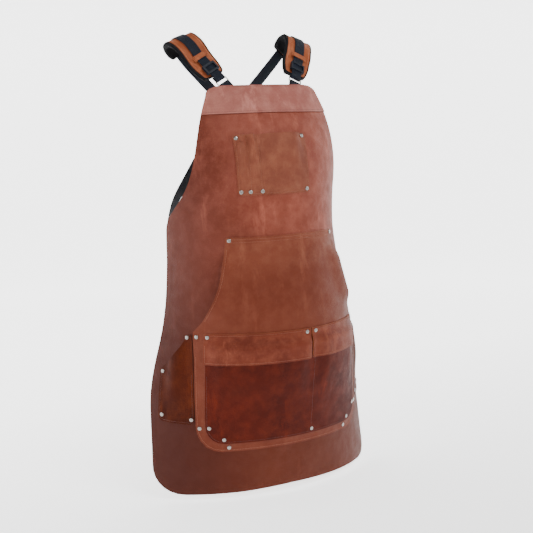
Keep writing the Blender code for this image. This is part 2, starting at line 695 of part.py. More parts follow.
PAD_KEYS = [  # path of the strap over the shoulder, with its outward normal
    ((0.1285, 0.1690, 0.0720), (0.13, -0.85, 0.51)),
    ((0.1405, 0.1800, 0.0920), (0.20, -0.72, 0.66)),
    ((0.1495, 0.1965, 0.1080), (0.30, -0.42, 0.86)),
    ((0.1530, 0.2190, 0.1150), (0.34, 0.02, 0.94)),
    ((0.1510, 0.2390, 0.1100), (0.30, 0.48, 0.82)),
    ((0.1400, 0.2520, 0.0930), (0.22, 0.82, 0.52)),
    ((0.1160, 0.2580, 0.0640), (0.10, 0.98, 0.15)),
    ((0.0800, 0.2585, 0.0270), (0.0, 1.0, 0.0)),
    ((0.0380, 0.2585, -0.0150), (0.0, 1.0, 0.0)),
    ((0.0, 0.2585, -0.0530), (0.0, 1.0, 0.0)),
    ((-0.0380, 0.2585, -0.0910), (0.0, 1.0, 0.0)),
    ((-0.0820, 0.2560, -0.1380), (-0.10, 0.99, 0.0)),
    ((-0.1290, 0.2480, -0.1980), (-0.32, 0.95, 0.0)),
    ((-0.1690, 0.2420, -0.2520), (-0.60, 0.80, 0.0)),
    ((-0.1895, 0.2350, -0.2960), (-0.77, 0.64, 0.0)),
]
WRING_DIR = Vector((-0.60, 0.80, 0.0))             # waist ring plane, front to rear
WRING_C = Vector((0.1888, 0.2352, -0.3400))        # waist ring centre
WRING_IN = 34.0 * MM

for side, s in (("left", -1), ("right", 1)):
    t, w, n = harness_frame(s)
    low = flip(RING_LOW, s)
    high = low + t * RING_H
    # ring
    half = RING_IN_W / 2 + RING_R
    ring = tube_loop("ring_" + side, M_STEEL(),
                     [low - w * half, low + w * half, high + w * half, high - w * half],
                     RING_R, 3.0 * MM)
    ring.data.transform(Matrix.Translation(-(low - HOLD)))
    ring.location = low - HOLD
    # front webbing: sewn loop round the ring's upper bar, then straight to the pad
    r_mid = LOOP_R
    pts, nrm = fold_path(high, t, n, r_mid, STRAIGHT, 12.0 * MM)
    ribbon_w("strap_web_" + side, M_WEB(), pts, nrm, w, WEB, WEB_T, 0.0)
    # tab: webbing loop round the lower bar, tails behind the bib's top edge
    bu = s * 0.0705
    base = form_point(bu, -0.036) - form_normal(bu, -0.036) * 3.6 * MM
    ang = form_angle(bu, -0.036)
    flat_w = Vector((math.cos(ang), math.sin(ang), 0.0))
    if flat_w.dot(w) < 0:
        flat_w = -flat_w
    rise = low - base
    rise = (rise - w * rise.dot(w)).normalized()
    tn = w.cross(rise)
    if tn.y > 0:
        tn = -tn
    pts, nrm = fold_path(low, -rise, tn, LOOP_R, 40.0 * MM, 38.0 * MM, steps=6)
    out_p, out_w, out_n = [], [], []
    full = (low - base).length
    for p, d in zip(pts, nrm):
        dist = max(0.0, (low - p).dot(rise))
        k = step01(dist, 5 * MM, 26 * MM)
        on_line = low + (base - low) * (dist / full)
        straight = low - rise * dist
        c = straight + (on_line - straight) * step01(dist, 3 * MM, 40 * MM)
        sgn = 1.0 if (p - low).dot(tn) > 0 else -1.0
        ww = (w * (1 - k) + flat_w * k).normalized()
        if dist > 1e-6:
            line = (low - c).normalized() if dist > 5 * MM else rise
            ww = (ww - line * ww.dot(line)).normalized()
            m = ww.cross(line).normalized()
            if m.y > 0:
                m = -m
            off = LOOP_R * (1 - k) + 0.35 * MM * k
            out_p.append(c + m * sgn * off)
            out_n.append(m * sgn)
        else:
            out_p.append(p)
            out_n.append(d)
        out_w.append(ww)
    web_sec = [(-WEB / 2, 0.0), (WEB / 2, 0.0), (WEB / 2, WEB_T), (-WEB / 2, WEB_T)]
    sweep("strap_tab_" + side, M_WEB(), [p - HOLD for p in out_p], out_w, out_n, lambda i: web_sec)
    # slide adjuster: outer bars over the webbing, centre bar under it
    at = high + n * r_mid + t * SLIDE_AT
    fr = place(at, w * (1 if s > 0 else -1), t)
    zdir = fr.to_3x3() @ Vector((0, 0, 1))
    up = 1 if zdir.dot(n) > 0 else -1
    def zz(a, b):
        return (a, b) if up > 0 else (-b, -a)
    z_all, z_web, z_top, z_bot = zz(-2.9, 4.3), zz(-0.5, 2.2), zz(-0.5, 5.0), zz(-3.5, 2.2)
    carved("slider_" + side, M_PLASTIC(),
           ((-16.6, -11, z_all[0]), (16.6, 11, z_all[1])),
           [("cut", (-13.2, -12, z_web[0]), (13.2, 12, z_web[1])),
            ("cut", (-13.2, -6.8, z_top[0]), (13.2, 6.8, z_top[1])),
            ("cut", (-13.2, -12, z_bot[0]), (13.2, -2.2, z_bot[1])),
            ("cut", (-13.2, 2.2, z_bot[0]), (13.2, 12, z_bot[1]))], fr)


# shoulder strap over the pad, crossing the back to the opposite waist ring
def pad_profile(i, count, n_low):
    """Pad outline: rounded ends."""
    e = min(i, count - 1 - i)
    return min(1.0, math.sqrt(max(0.0, 1 - (1 - (e + 0.35) / 3.4) ** 2)) if e < 3 else 1.0)


for side, s in (("left", -1), ("right", 1)):
    t, w, n = harness_frame(s)
    web_line = flip(RING_LOW, s) + t * RING_H + n * LOOP_R      # inner face of the front webbing
    keys = [(web_line + t * JOIN - n * 0.3 * MM, n)] + [(flip(p, s), flip(nn, s)) for p, nn in PAD_KEYS[1:]]
    # the straps pass each other at the crossing: one lies outside the other
    shift = 2.1 * MM if s > 0 else 0.0
    pts, nrm = smooth_path(keys, 0.014)
    moved = []
    for p, d in zip(pts, nrm):
        k = step01(0.060 - abs(p.x), 0.0, 0.030) if p.z < 0.02 else 0.0
        moved.append(p + Vector((0, 1, 0)) * shift * k)
    pts = moved
    wc = WRING_C.copy()
    ctr = flip((-wc.x, wc.y, wc.z), s)
    rd = flip((-WRING_DIR.x, WRING_DIR.y, 0.0), s)             # along the ring, front to rear
    rn = Vector((rd.y, -rd.x, 0.0))
    if rn.x * ctr.x < 0:
        rn = -rn
    top_bar = ctr + Vector((0, 0, WRING_IN / 2 + RING_R))
    lp, ln = fold_path(top_bar, Vector((0, 0, 1)), rn, LOOP_R, 14 * MM, 13 * MM)
    path = pts + lp
    nn2 = nrm + ln
    # width direction: square to the path, blending to the ring's bar
    wides, norms = [], []
    for i, p in enumerate(path):
        tt = (path[min(i + 1, len(path) - 1)] - path[max(i - 1, 0)]).normalized()
        if i >= len(pts):
            wides.append(rd * (1 if s > 0 else 1))
            norms.append(nn2[i])
            continue
        m = (nn2[i] - tt * nn2[i].dot(tt)).normalized()
        ww = tt.cross(m).normalized()
        if wides and ww.dot(wides[-1]) < 0:
            ww = -ww
        wides.append(ww)
        norms.append(m)
    if wides[len(pts) - 1].dot(rd) < 0:
        for i in range(len(pts), len(path)):
            wides[i] = -rd
    sec = [(-WEB / 2, 0.3 * MM), (WEB / 2, 0.3 * MM), (WEB / 2, 0.3 * MM + WEB_T), (-WEB / 2, 0.3 * MM + WEB_T)]
    sec_fold = [(-WEB / 2, 0.0), (WEB / 2, 0.0), (WEB / 2, WEB_T), (-WEB / 2, WEB_T)]
    sweep("back_strap_" + side, M_WEB(), [p - HOLD for p in path], wides, norms,
          lambda i, n_=len(pts): sec if i < n_ else sec_fold)

    # pad: follows the strap, and drops away from it at its lower end
    pad_n = next(i for i, p in enumerate(pts) if p.y > 0.24 and p.z < 0.080)
    lowk = [(web_line + t * d * MM - n * g * MM, n) for d, g in ((17, 5.6), (30, 4.8), (44, 4.2), (57, 3.6))]
    lowp = [(q, m) for q, m in lowk]
    pp = [q for q, m in lowp] + list(pts[:pad_n])
    pn = [m for q, m in lowp] + list(nrm[:pad_n])
    ws = [None] * len(lowp) + wides[:pad_n]
    ns = [None] * len(lowp) + norms[:pad_n]
    for i in range(len(lowp)):
        ws[i] = wides[0]
        ns[i] = (n - t * 0).normalized()
    cnt = len(pp)

    def foam(i):
        f = pad_profile(i, cnt, 0)
        h, b = PAD_W / 2 * (0.55 + 0.45 * f), PAD_T
        top = -PAD_SHELL_T - 2.0 * MM
        return [(-h, top - b * 0.5), (-h + 1.5 * MM, top - 1.2 * MM), (-h + 4 * MM, top), (h - 4 * MM, top),
                (h - 1.5 * MM, top - 1.2 * MM), (h, top - b * 0.5), (h - 3 * MM, top - b), (-h + 3 * MM, top - b)]

    def shell(i):
        f = pad_profile(i, cnt - 0, 0)
        h = PAD_W / 2 * (0.55 + 0.45 * f) - 3.5 * MM
        return [(-h, -PAD_SHELL_T - 1.1 * MM), (h, -PAD_SHELL_T - 1.1 * MM), (h, -1.1 * MM), (-h, -1.1 * MM)]

    sweep("pad_foam_" + side, M_FOAM(), [p - HOLD for p in pp], ws, ns, foam)
    sweep("pad_shell_" + side, M_PAD(), [p - HOLD for p in pp[:]], ws, ns, shell)
    # keeper: leather bridge over the strap on the pad
    kc = web_line + t * (JOIN + STRAIGHT) / 2
    kt, kn, kw = t, n, w
    T_ = WEB / 2
    arch = [(-T_ - 6 * MM, 0.0), (-T_ - 1.4 * MM, 0.0), (-T_ - 0.8 * MM, 2.5 * MM), (T_ + 0.8 * MM, 2.5 * MM),
            (T_ + 1.4 * MM, 0.0), (T_ + 6 * MM, 0.0), (T_ + 6 * MM, 1.3 * MM), (T_ + 2.2 * MM, 1.6 * MM),
            (T_ + 1.2 * MM, 4.0 * MM), (-T_ - 1.2 * MM, 4.0 * MM), (-T_ - 2.2 * MM, 1.6 * MM), (-T_ - 6 * MM, 1.3 * MM)]
    sweep("pad_keeper_" + side, M_PAD(), [kc + kt * d - HOLD for d in (-6 * MM, 6 * MM)], [kw, kw], [kn, kn],
          lambda i: arch)

    # waist ring, its tab on the side edge, and the waist strap
    hh = WRING_IN / 2 + RING_R
    zv = Vector((0, 0, 1))
    far, q = ("right", 1) if side == "left" else ("left", -1)
    tube_loop("waist_ring_" + far, M_STEEL(),
              [ctr - rd * hh - zv * hh, ctr + rd * hh - zv * hh, ctr + rd * hh + zv * hh, ctr - rd * hh + zv * hh],
              RING_R, 3.0 * MM)
    front_bar = ctr - rd * hh
    lp, ln = fold_path(front_bar, -rd, rn, LOOP_R, 6.0 * MM, 6.0 * MM)
    su = [0.300, 0.289, 0.278, 0.266]
    inn = [form_point(q * u, ctr.z) - form_normal(q * u, ctr.z) * 1.0 * MM for u in su]
    inn2 = [form_point(q * u, ctr.z) - form_normal(q * u, ctr.z) * (1.6 * MM + WEB_T) for u in su]
    nn_ = [form_normal(q * u, ctr.z) for u in su]
    path = [p - m * WEB_T for p, m in zip(inn[::-1], nn_[::-1])]
    norm = list(nn_[::-1])
    path += lp
    norm += ln
    path += [p for p in inn2]
    norm += [-m for m in nn_]
    sweep("waist_tab_" + far, M_WEB(), [p - HOLD for p in path], [zv] * len(path), norm,
          lambda i: [(-12 * MM, 0.0), (12 * MM, 0.0), (12 * MM, WEB_T), (-12 * MM, WEB_T)])
    rear_bar = ctr + rd * hh
    lp, ln = fold_path(rear_bar, rd, rn, LOOP_R, 16.0 * MM, 13.0 * MM)
    start = lp[0]
    end_x = q * 0.0225
    y_back = 0.2850
    bk = [(Vector((end_x, y_back, ctr.z)), Vector((0, 1, 0))), (Vector((q * 0.070, y_back, ctr.z)), Vector((0, 1, 0))),
          (Vector((q * 0.110, y_back - 0.004, ctr.z)), Vector((q * 0.2, 1, 0)).normalized()),
          (Vector((q * 0.140, y_back - 0.016, ctr.z)), Vector((q * 0.45, 0.9, 0)).normalized()),
          (start + rd * 2 * MM, rn)]
    bp, bn_ = smooth_path(bk, 0.016)
    bp, bn_ = bp + lp[1:], bn_ + ln[1:]
    sweep("waist_strap_" + far, M_WEB(), [p - HOLD for p in bp], [zv] * len(bp), bn_,
          lambda i: [(-12 * MM, 0.0), (12 * MM, 0.0), (12 * MM, WEB_T), (-12 * MM, WEB_T)])

# crossing patches
cross = Vector((0.0, 0.2585, -0.0530))
for name, y0, y1 in (("cross_patch_inner", -2.3 * MM, -0.3 * MM), ("cross_patch_outer", 4.4 * MM, 6.4 * MM)):
    ring0 = []
    R_ = 34 * MM
    corner = [(R_ * math.cos(math.radians(45 * k + 22.5)), R_ * math.sin(math.radians(45 * k + 22.5))) for k in range(8)]
    vs = [Vector((x, cross.y + y0, cross.z + z)) - HOLD for x, z in corner] + \
         [Vector((x, cross.y + y1, cross.z + z)) - HOLD for x, z in corner]
    fs = [tuple(range(8)), tuple(range(15, 7, -1))] + [(i, (i + 1) % 8, 8 + (i + 1) % 8, 8 + i) for i in range(8)]
    make_object(name, vs, fs, M_PAD())

# side-release buckle at the back of the waist
BY = 0.2850 + WEB_T / 2
bz = WRING_C.z
fr = place(Vector((0.0, BY, bz)), (1, 0, 0), (0, 0, 1))          # local z = -Y world
carved("buckle_female", M_PLASTIC(), ((-38, -16.5, -5.2), (0, 16.5, 5.2)),
       [("cut", (-16, -13.4, -3.0), (1, 13.4, 3.0)),
        ("cut", (-39, -12.8, -1.3), (-19.5, 12.8, 1.3)),
        ("cut", (-34, -12.8, -6), (-24, 12.8, 0)),
        ("cut", (-39, -12.8, 0), (-35.5, 12.8, 6)),
        ("cut", (-22.5, -12.8, 0), (-19.5, 12.8, 6))], fr)
carved("buckle_male", M_PLASTIC(), ((0.5, -16.5, -5.2), (36, 16.5, 5.2)),
       [("cut", (2.5, -12.8, -1.3), (37, 12.8, 1.3)),
        ("cut", (23, -12.8, -6), (33, 12.8, 0)),
        ("cut", (19.5, -12.8, 0), (21.5, 12.8, 6)),
        ("cut", (34.5, -12.8, 0), (37, 12.8, 6)),
        ("add", (-13, -10.5, -2.4), (2, -6.5, 2.4)),
        ("add", (-13, 6.5, -2.4), (2, 10.5, 2.4)),
        ("add", (-14, -2.0, -1.6), (2, 2.0, 1.6))], fr)
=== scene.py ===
# Studio scene for the welding apron: fine leather, webbing, pads and hardware
# over the CAD frame.  Same body form and the same dimensions as the CAD part.
import json
import math
import bpy
import bmesh
import numpy as np
from mathutils import Vector, Matrix
from mathutils.geometry import delaunay_2d_cdt


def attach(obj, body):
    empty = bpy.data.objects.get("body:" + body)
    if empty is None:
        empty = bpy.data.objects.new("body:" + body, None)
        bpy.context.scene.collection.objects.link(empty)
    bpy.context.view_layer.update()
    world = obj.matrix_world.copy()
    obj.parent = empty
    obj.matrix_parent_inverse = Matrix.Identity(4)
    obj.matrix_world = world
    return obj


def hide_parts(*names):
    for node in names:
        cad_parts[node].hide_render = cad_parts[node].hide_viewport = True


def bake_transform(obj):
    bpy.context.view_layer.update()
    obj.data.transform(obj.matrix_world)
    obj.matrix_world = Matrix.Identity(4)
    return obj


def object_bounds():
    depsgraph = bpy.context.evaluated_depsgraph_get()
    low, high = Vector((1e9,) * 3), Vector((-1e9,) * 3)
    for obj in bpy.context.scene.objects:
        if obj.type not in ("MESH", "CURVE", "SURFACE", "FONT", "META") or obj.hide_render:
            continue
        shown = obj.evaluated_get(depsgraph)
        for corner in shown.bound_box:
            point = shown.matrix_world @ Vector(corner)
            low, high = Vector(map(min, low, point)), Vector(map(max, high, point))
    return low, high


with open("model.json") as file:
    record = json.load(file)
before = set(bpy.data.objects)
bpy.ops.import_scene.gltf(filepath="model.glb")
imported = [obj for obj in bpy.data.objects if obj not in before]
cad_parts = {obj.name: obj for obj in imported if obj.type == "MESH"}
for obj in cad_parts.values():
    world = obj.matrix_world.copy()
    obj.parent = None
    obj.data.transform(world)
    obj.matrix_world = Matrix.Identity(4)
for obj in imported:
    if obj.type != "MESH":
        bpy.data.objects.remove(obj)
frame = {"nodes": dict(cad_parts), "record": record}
_lo0, _hi0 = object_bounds()
CAD_BOX = [[float(v) for v in _lo0], [float(v) for v in _hi0]]
BODY_OF = {n: b for b, ns in frame["record"]["behaviour"]["bodies"].items() for n in ns}

# ---------------------------------------------------------------- dimensions
MM = 0.001
HOLD = Vector((0.0, 0.205, 0.100))      # shoulder support point, row origin

# body form: curvature, its growth towards the sides, and the front line,
# at six heights from hem to shoulder
FORM_Z = (-0.90, -0.70, -0.50, -0.31, -0.15, 0.02)
FORM_CURV = (2.17, 3.32, 4.36, 4.65, 4.00, 2.96)
FORM_GROW = (8.7, 0.9, -1.4, 1.5, 1.1, 0.8)
FORM_FRONT = (0.0548, 0.0243, 0.0, 0.0308, 0.0396, 0.1119)

LEATHER = 2.2 * MM
GAP = 0.4 * MM
LAYER1 = LEATHER + GAP                   # inner face of the first pocket layer
LAYER2 = 2 * (LEATHER + GAP)             # inner face of the second layer
LAYER3 = 3 * (LEATHER + GAP)

# apron blank: half width at heights down the side edge
EDGE_Z = (-0.022, -0.060, -0.120, -0.180, -0.225, -0.260, -0.290,
          -0.330, -0.420, -0.520, -0.650, -0.760, -0.830)
EDGE_U = (0.147, 0.166, 0.189, 0.209, 0.231, 0.261, 0.290,
          0.303, 0.317, 0.331, 0.350, 0.338, 0.331)
TOP_HALF = 0.104
HEM_Z = -0.896
HEM_CORNER_U = 0.250
BAND_H = 0.062

CHEST = (-0.110, 0.062, -0.2370, -0.1085)          # u0 u1 z0 z1
CHEST_DIV = (-0.0815, -0.0585)
CHEST_MOUTH = 8.6 * MM

HAND_TOP_HALF, HAND_TOP_Z = 0.144, -0.327
HAND_CORNER = (0.2405, -0.533)
HAND_LOW = (0.228, -0.735)
HAND_BOTTOM_Z = -0.7975
HAND_MOUTH = 10.0 * MM

CARGO_HALF_TOP, CARGO_HALF_LOW = 0.2125, 0.2065
CARGO_TOP_Z, CARGO_BOTTOM_Z = -0.566, -0.7785
CARGO_DIV_U = 0.0385
CARGO_MOUTH = 5.6 * MM

FLAP_TOP_Z, FLAP_FOLD_Z, FLAP_LOW_Z = -0.5330, -0.5468, -0.5990
FLAP_L = (-0.2150, 0.0245)
FLAP_R = (0.0290, 0.2150)
FOLD_GAP = 0.5 * MM

SIDE_U0, SIDE_U1 = 0.2445, 0.3235
SIDE_TIP_Z, SIDE_LOW_TIP_Z, SIDE_BOTTOM_Z = -0.5365, -0.6130, -0.7320
SIDE_MOUTH = 8.0 * MM

RIVET_CAP, RIVET_SHANK, RIVET_HOLE, RIVET_BACK = 4.5 * MM, 1.5 * MM, 2.1 * MM, 4.2 * MM
RIVET_CLEAR = 0.30 * MM

WEB, WEB_T = 25.0 * MM, 1.6 * MM
PAD_W, PAD_T, PAD_SHELL_T = 70.0 * MM, 8.5 * MM, 1.8 * MM

U_STEP = 0.0075
Z_LINES = tuple(-0.0075 * k for k in range(1, 120))


# ---------------------------------------------------------------- body form
def natural_spline(xs, ys):
    xs, ys = np.array(xs, float), np.array(ys, float)
    n = len(xs)
    h = np.diff(xs)
    A, r = np.zeros((n, n)), np.zeros(n)
    A[0, 0] = A[-1, -1] = 1.0
    for i in range(1, n - 1):
        A[i, i - 1], A[i, i], A[i, i + 1] = h[i - 1], 2 * (h[i - 1] + h[i]), h[i]
        r[i] = 6 * ((ys[i + 1] - ys[i]) / h[i] - (ys[i] - ys[i - 1]) / h[i - 1])
    m = np.linalg.solve(A, r)

    def f(x):
        i = int(np.clip(np.searchsorted(xs, x) - 1, 0, n - 2))
        a, b = (xs[i + 1] - x) / h[i], (x - xs[i]) / h[i]
        return float(a * ys[i] + b * ys[i + 1]
                     + ((a ** 3 - a) * m[i] + (b ** 3 - b) * m[i + 1]) * h[i] ** 2 / 6)
    return f


form_curv = natural_spline(FORM_Z, FORM_CURV)
form_grow = natural_spline(FORM_Z, FORM_GROW)
form_front = natural_spline(FORM_Z, FORM_FRONT)
_edge = natural_spline(EDGE_Z[::-1], EDGE_U[::-1])


def form_point(u, z):
    c, g, t = form_curv(z), form_grow(z), abs(u)
    k = (np.arange(24) + 0.5) / 24.0 * t
    ph = c * k + g * k ** 3
    x = float(np.cos(ph).mean()) * t * (1.0 if u >= 0 else -1.0)
    y = float(np.sin(ph).mean()) * t + form_front(z)
    return Vector((x, y, z))


def form_angle(u, z):
    """Tangent angle of the horizontal line of the form at u."""
    t = abs(u)
    ph = form_curv(z) * t + form_grow(z) * t ** 3
    return ph if u >= 0 else -ph


def form_normal(u, z):
    e = 0.0004
    du = form_point(u + e, z) - form_point(u - e, z)
    dz = form_point(u, z + e) - form_point(u, z - e)
    nrm = du.cross(dz).normalized()
    return nrm if nrm.y < 0 or abs(u) > 0.2 else -nrm


def on_form(u, z, n):
    return form_point(u, z) + form_normal(u, z) * n - HOLD



# ---------------------------------------------------------------- camera and light
AZ, EL, ROLL, FOCAL = math.radians(-30.146), math.radians(6.834), math.radians(-2.323), 1063.12
CAM_AT = Vector((-1.2092, -1.9494, -0.1179)) - HOLD
_back = Vector((math.sin(AZ) * math.cos(EL), -math.cos(AZ) * math.cos(EL), math.sin(EL)))
_right = Vector((math.cos(AZ), math.sin(AZ), 0.0))
_up = _back.cross(_right)
_r = _right * math.cos(ROLL) + _up * math.sin(ROLL)
_u = _up * math.cos(ROLL) - _right * math.sin(ROLL)
cam_data = bpy.data.cameras.new("camera")
cam_data.sensor_width = 36.0
cam_data.lens = FOCAL * 36.0 / 533.0
cam = bpy.data.objects.new("camera", cam_data)
m = Matrix((_r, _u, _back)).transposed().to_4x4()
m.translation = CAM_AT
cam.matrix_world = m
bpy.context.scene.collection.objects.link(cam)
bpy.context.scene.camera = cam


def area_light(name, at, target, size, power, colour=(1, 1, 1)):
    d = bpy.data.lights.new(name, "AREA")
    d.shape = "RECTANGLE"
    d.size, d.size_y = size
    d.energy = power
    d.color = colour
    o = bpy.data.objects.new(name, d)
    o.location = at
    o.rotation_euler = (Vector(target) - Vector(at)).to_track_quat("-Z", "Y").to_euler()
    bpy.context.scene.collection.objects.link(o)
    return o


KEY_POWER, FILL_POWER, SIDE_POWER, WORLD = 38.0, 1.5, 1.5, 0.60
area_light("key", (0.30, -1.65, 1.45), (0, -0.10, -0.15), (1.1, 0.8), KEY_POWER, (1.0, 0.985, 0.97))
area_light("fill", (-1.9, -1.2, 0.1), (0, 0, -0.5), (1.2, 1.8), FILL_POWER, (0.96, 0.98, 1.0))
area_light("side", (1.9, -0.9, 0.3), (0, 0, -0.4), (1.0, 1.6), SIDE_POWER, (1.0, 1.0, 1.0))
area_light("rear", (0.3, 1.9, 0.6), (0, 0, -0.4), (1.4, 1.6), 9.0, (1.0, 1.0, 1.0))
world = bpy.data.worlds.new("studio") if not bpy.data.worlds else bpy.data.worlds[0]
bpy.context.scene.world = world
world.use_nodes = True
wn = world.node_tree
bg = wn.nodes.get("Background") or wn.nodes.new("ShaderNodeBackground")
bg.inputs["Color"].default_value = (1.0, 1.0, 1.0, 1.0)
bg.inputs["Strength"].default_value = WORLD


# ---------------------------------------------------------------- materials
class Nodes:
    """Small helper for writing node trees."""
    def __init__(self, name):
        self.m = bpy.data.materials.new(name)
        self.m.use_nodes = True
        self.t = self.m.node_tree
        self.b = self.t.nodes.get("Principled BSDF")

    def new(self, kind, **props):
        n = self.t.nodes.new(kind)
        for k, v in props.items():
            setattr(n, k, v)
        return n

    def put(self, sock, val):
        if isinstance(val, bpy.types.NodeSocket):
            self.t.links.new(val, sock)
        elif isinstance(val, (tuple, list)) and len(val) == 3 and len(sock.default_value) == 4:
            sock.default_value = (*val, 1.0)
        else:
            sock.default_value = val

    def math(self, op, a, b=0.0, c=0.0):
        n = self.new("ShaderNodeMath", operation=op)
        for i, v in enumerate((a, b, c)):
            if i < len(n.inputs):
                self.put(n.inputs[i], v)
        return n.outputs[0]

    def coords(self):
        return self.new("ShaderNodeTexCoord").outputs["Object"]

    def noise(self, vec, scale, detail=4.0, rough=0.55):
        n = self.new("ShaderNodeTexNoise")
        self.put(n.inputs["Vector"], vec)
        self.put(n.inputs["Scale"], scale)
        self.put(n.inputs["Detail"], detail)
        self.put(n.inputs["Roughness"], rough)
        return n.outputs["Fac"]

    def voronoi(self, vec, scale, feature="F1"):
        n = self.new("ShaderNodeTexVoronoi", feature=feature)
        self.put(n.inputs["Vector"], vec)
        self.put(n.inputs["Scale"], scale)
        return n.outputs["Distance"]

    def span(self, v, a, b, c=0.0, d=1.0):
        n = self.new("ShaderNodeMapRange", clamp=True)
        self.put(n.inputs[0], v)
        for i, x in enumerate((a, b, c, d)):
            self.put(n.inputs[i + 1], x)
        return n.outputs[0]

    def mix(self, fac, a, b, mode="MIX"):
        n = self.new("ShaderNodeMix", data_type="RGBA", blend_type=mode)
        self.put(n.inputs[0], fac)
        self.put(n.inputs[6], a)
        self.put(n.inputs[7], b)
        return n.outputs[2]

    def bump(self, height, dist, strength=1.0, normal=None):
        n = self.new("ShaderNodeBump")
        self.put(n.inputs["Height"], height)
        self.put(n.inputs["Distance"], dist)
        self.put(n.inputs["Strength"], strength)
        if normal is not None:
            self.put(n.inputs["Normal"], normal)
        return n.outputs[0]


def lin(r, g, b):
    f = lambda v: (v / 255.0 / 12.92) if v <= 10.3 else ((v / 255.0 + 0.055) / 1.055) ** 2.4
    return (f(r), f(g), f(b))


def leather(name, low, mid, high, rough=0.58, grain=1.0, sheen=0.0, lean=None, sat=1.1, val=0.62, spec=0.16):
    """Split cowhide: mottled dye, fine nap, creases and pale scuffs.  lean
    gives a darker tone towards one side or the foot: (axis, from, to, colour, amount)."""
    k = Nodes(name)
    v = k.coords()
    big = k.noise(v, 7.0, 3.0, 0.6)
    med = k.noise(v, 38.0, 5.0, 0.62)
    fine = k.noise(v, 420.0, 3.0, 0.6)
    pore = k.voronoi(v, 620.0)
    col = k.mix(k.span(big, 0.36, 0.64), low, mid)
    col = k.mix(k.span(med, 0.42, 0.72, 0.0, 0.70), col, high)
    col = k.mix(k.span(k.noise(v, 16.0, 6.0, 0.68), 0.50, 0.74, 0.0, 0.26), col, tuple(c * 0.62 for c in low))
    col = k.mix(k.span(fine, 0.30, 0.75, 0.0, 0.30), col, tuple(c * 0.55 for c in low))
    # scuffs: thin pale marks where the nap is rubbed
    st = k.new("ShaderNodeMapping")
    k.put(st.inputs["Vector"], v)
    st.inputs["Scale"].default_value = (1.0, 1.0, 0.22)
    scuff = k.noise(st.outputs[0], 26.0, 8.0, 0.72)
    col = k.mix(k.span(scuff, 0.56, 0.74, 0.0, 0.55), col, tuple(min(1.0, c * 1.55 + 0.02) for c in high))
    # a lean darkens the colour along one axis; the leans towards the turned left side are painted shade, the others
    # only darken towards the foot
    if lean:
        for axis, p0, p1, tone, amount in lean:
            sep = k.new("ShaderNodeSeparateXYZ")
            k.put(sep.inputs[0], v)
            f = k.span(sep.outputs[axis], p0, p1, 0.0, amount)
            col = k.mix(f, col, tone)
    hs = k.new("ShaderNodeHueSaturation")
    k.put(hs.inputs["Color"], col)
    hs.inputs["Saturation"].default_value = sat
    hs.inputs["Value"].default_value = val
    k.put(k.b.inputs["Base Color"], hs.outputs[0])
    k.put(k.b.inputs["Roughness"], k.span(med, 0.25, 0.8, rough + 0.10, rough - 0.10))
    k.b.inputs["Sheen Weight"].default_value = sheen
    k.b.inputs["Sheen Roughness"].default_value = 0.5
    k.put(k.b.inputs["Sheen Tint"], (0.95, 0.72, 0.60))
    k.b.inputs["Specular IOR Level"].default_value = spec
    crease = k.voronoi(k_warp(k, v, 9.0, 0.02), 16.0, "DISTANCE_TO_EDGE")
    h1 = k.bump(k.span(crease, 0.0, 0.16), 0.0007, 0.28 * grain)
    h2 = k.bump(med, 0.0014, 0.65 * grain, h1)
    h3 = k.bump(k.math("ADD", k.math("MULTIPLY", pore, 0.7), fine), 0.00045, 0.85 * grain, h2)
    k.put(k.b.inputs["Normal"], h3)
    return k.m


def k_warp(k, v, scale, amount):
    n = k.new("ShaderNodeTexNoise")
    k.put(n.inputs["Vector"], v)
    k.put(n.inputs["Scale"], scale)
    s = k.new("ShaderNodeVectorMath", operation="SCALE")
    k.put(s.inputs[0], n.outputs["Color"])
    k.put(s.inputs["Scale"], amount)
    a = k.new("ShaderNodeVectorMath", operation="ADD")
    k.put(a.inputs[0], v)
    k.put(a.inputs[1], s.outputs[0])
    return a.outputs[0]


def raw_edge(name, tone, dark):
    k = Nodes(name)
    v = k.coords()
    f = k.noise(v, 240.0, 5.0, 0.7)
    k.put(k.b.inputs["Base Color"], k.mix(k.span(f, 0.3, 0.7), dark, tone))
    k.b.inputs["Roughness"].default_value = 0.75
    k.put(k.b.inputs["Normal"], k.bump(k.noise(v, 900.0, 3.0), 0.0003, 0.8))
    return k.m


def webbing_mat(name, tone, high):
    """Nylon webbing: ribs across, herringbone of yarns, worn pale in random patches."""
    k = Nodes(name)
    au = k.new("ShaderNodeAttribute", attribute_name="across").outputs["Fac"]
    av = k.new("ShaderNodeAttribute", attribute_name="along").outputs["Fac"]
    x = k.math("MULTIPLY", au, 2 * math.pi / 0.00165)
    y = k.math("MULTIPLY", av, 2 * math.pi / 0.0026)
    zig = k.math("ADD", y, k.math("MULTIPLY", k.math("SINE", k.math("MULTIPLY", au, 2 * math.pi / 0.0062)), 1.5))
    w = k.math("MULTIPLY", k.math("SINE", x), k.math("SINE", zig))
    rib = k.math("SINE", k.math("MULTIPLY", av, 2 * math.pi / 0.0013))
    hgt = k.math("ADD", w, k.math("MULTIPLY", rib, 0.4))
    v = k.coords()
    n = k.noise(v, 60.0, 4.0)
    col = k.mix(k.span(hgt, -0.9, 1.3), tone, high)
    col = k.mix(k.span(n, 0.4, 0.8, 0.0, 0.35), col, tuple(min(1, c * 1.9) for c in high))
    k.put(k.b.inputs["Base Color"], col)
    k.put(k.b.inputs["Roughness"], k.span(n, 0.3, 0.7, 0.55, 0.72))
    k.b.inputs["Specular IOR Level"].default_value = 0.16
    k.put(k.b.inputs["Normal"], k.bump(hgt, 0.00026, 0.9))
    return k.m


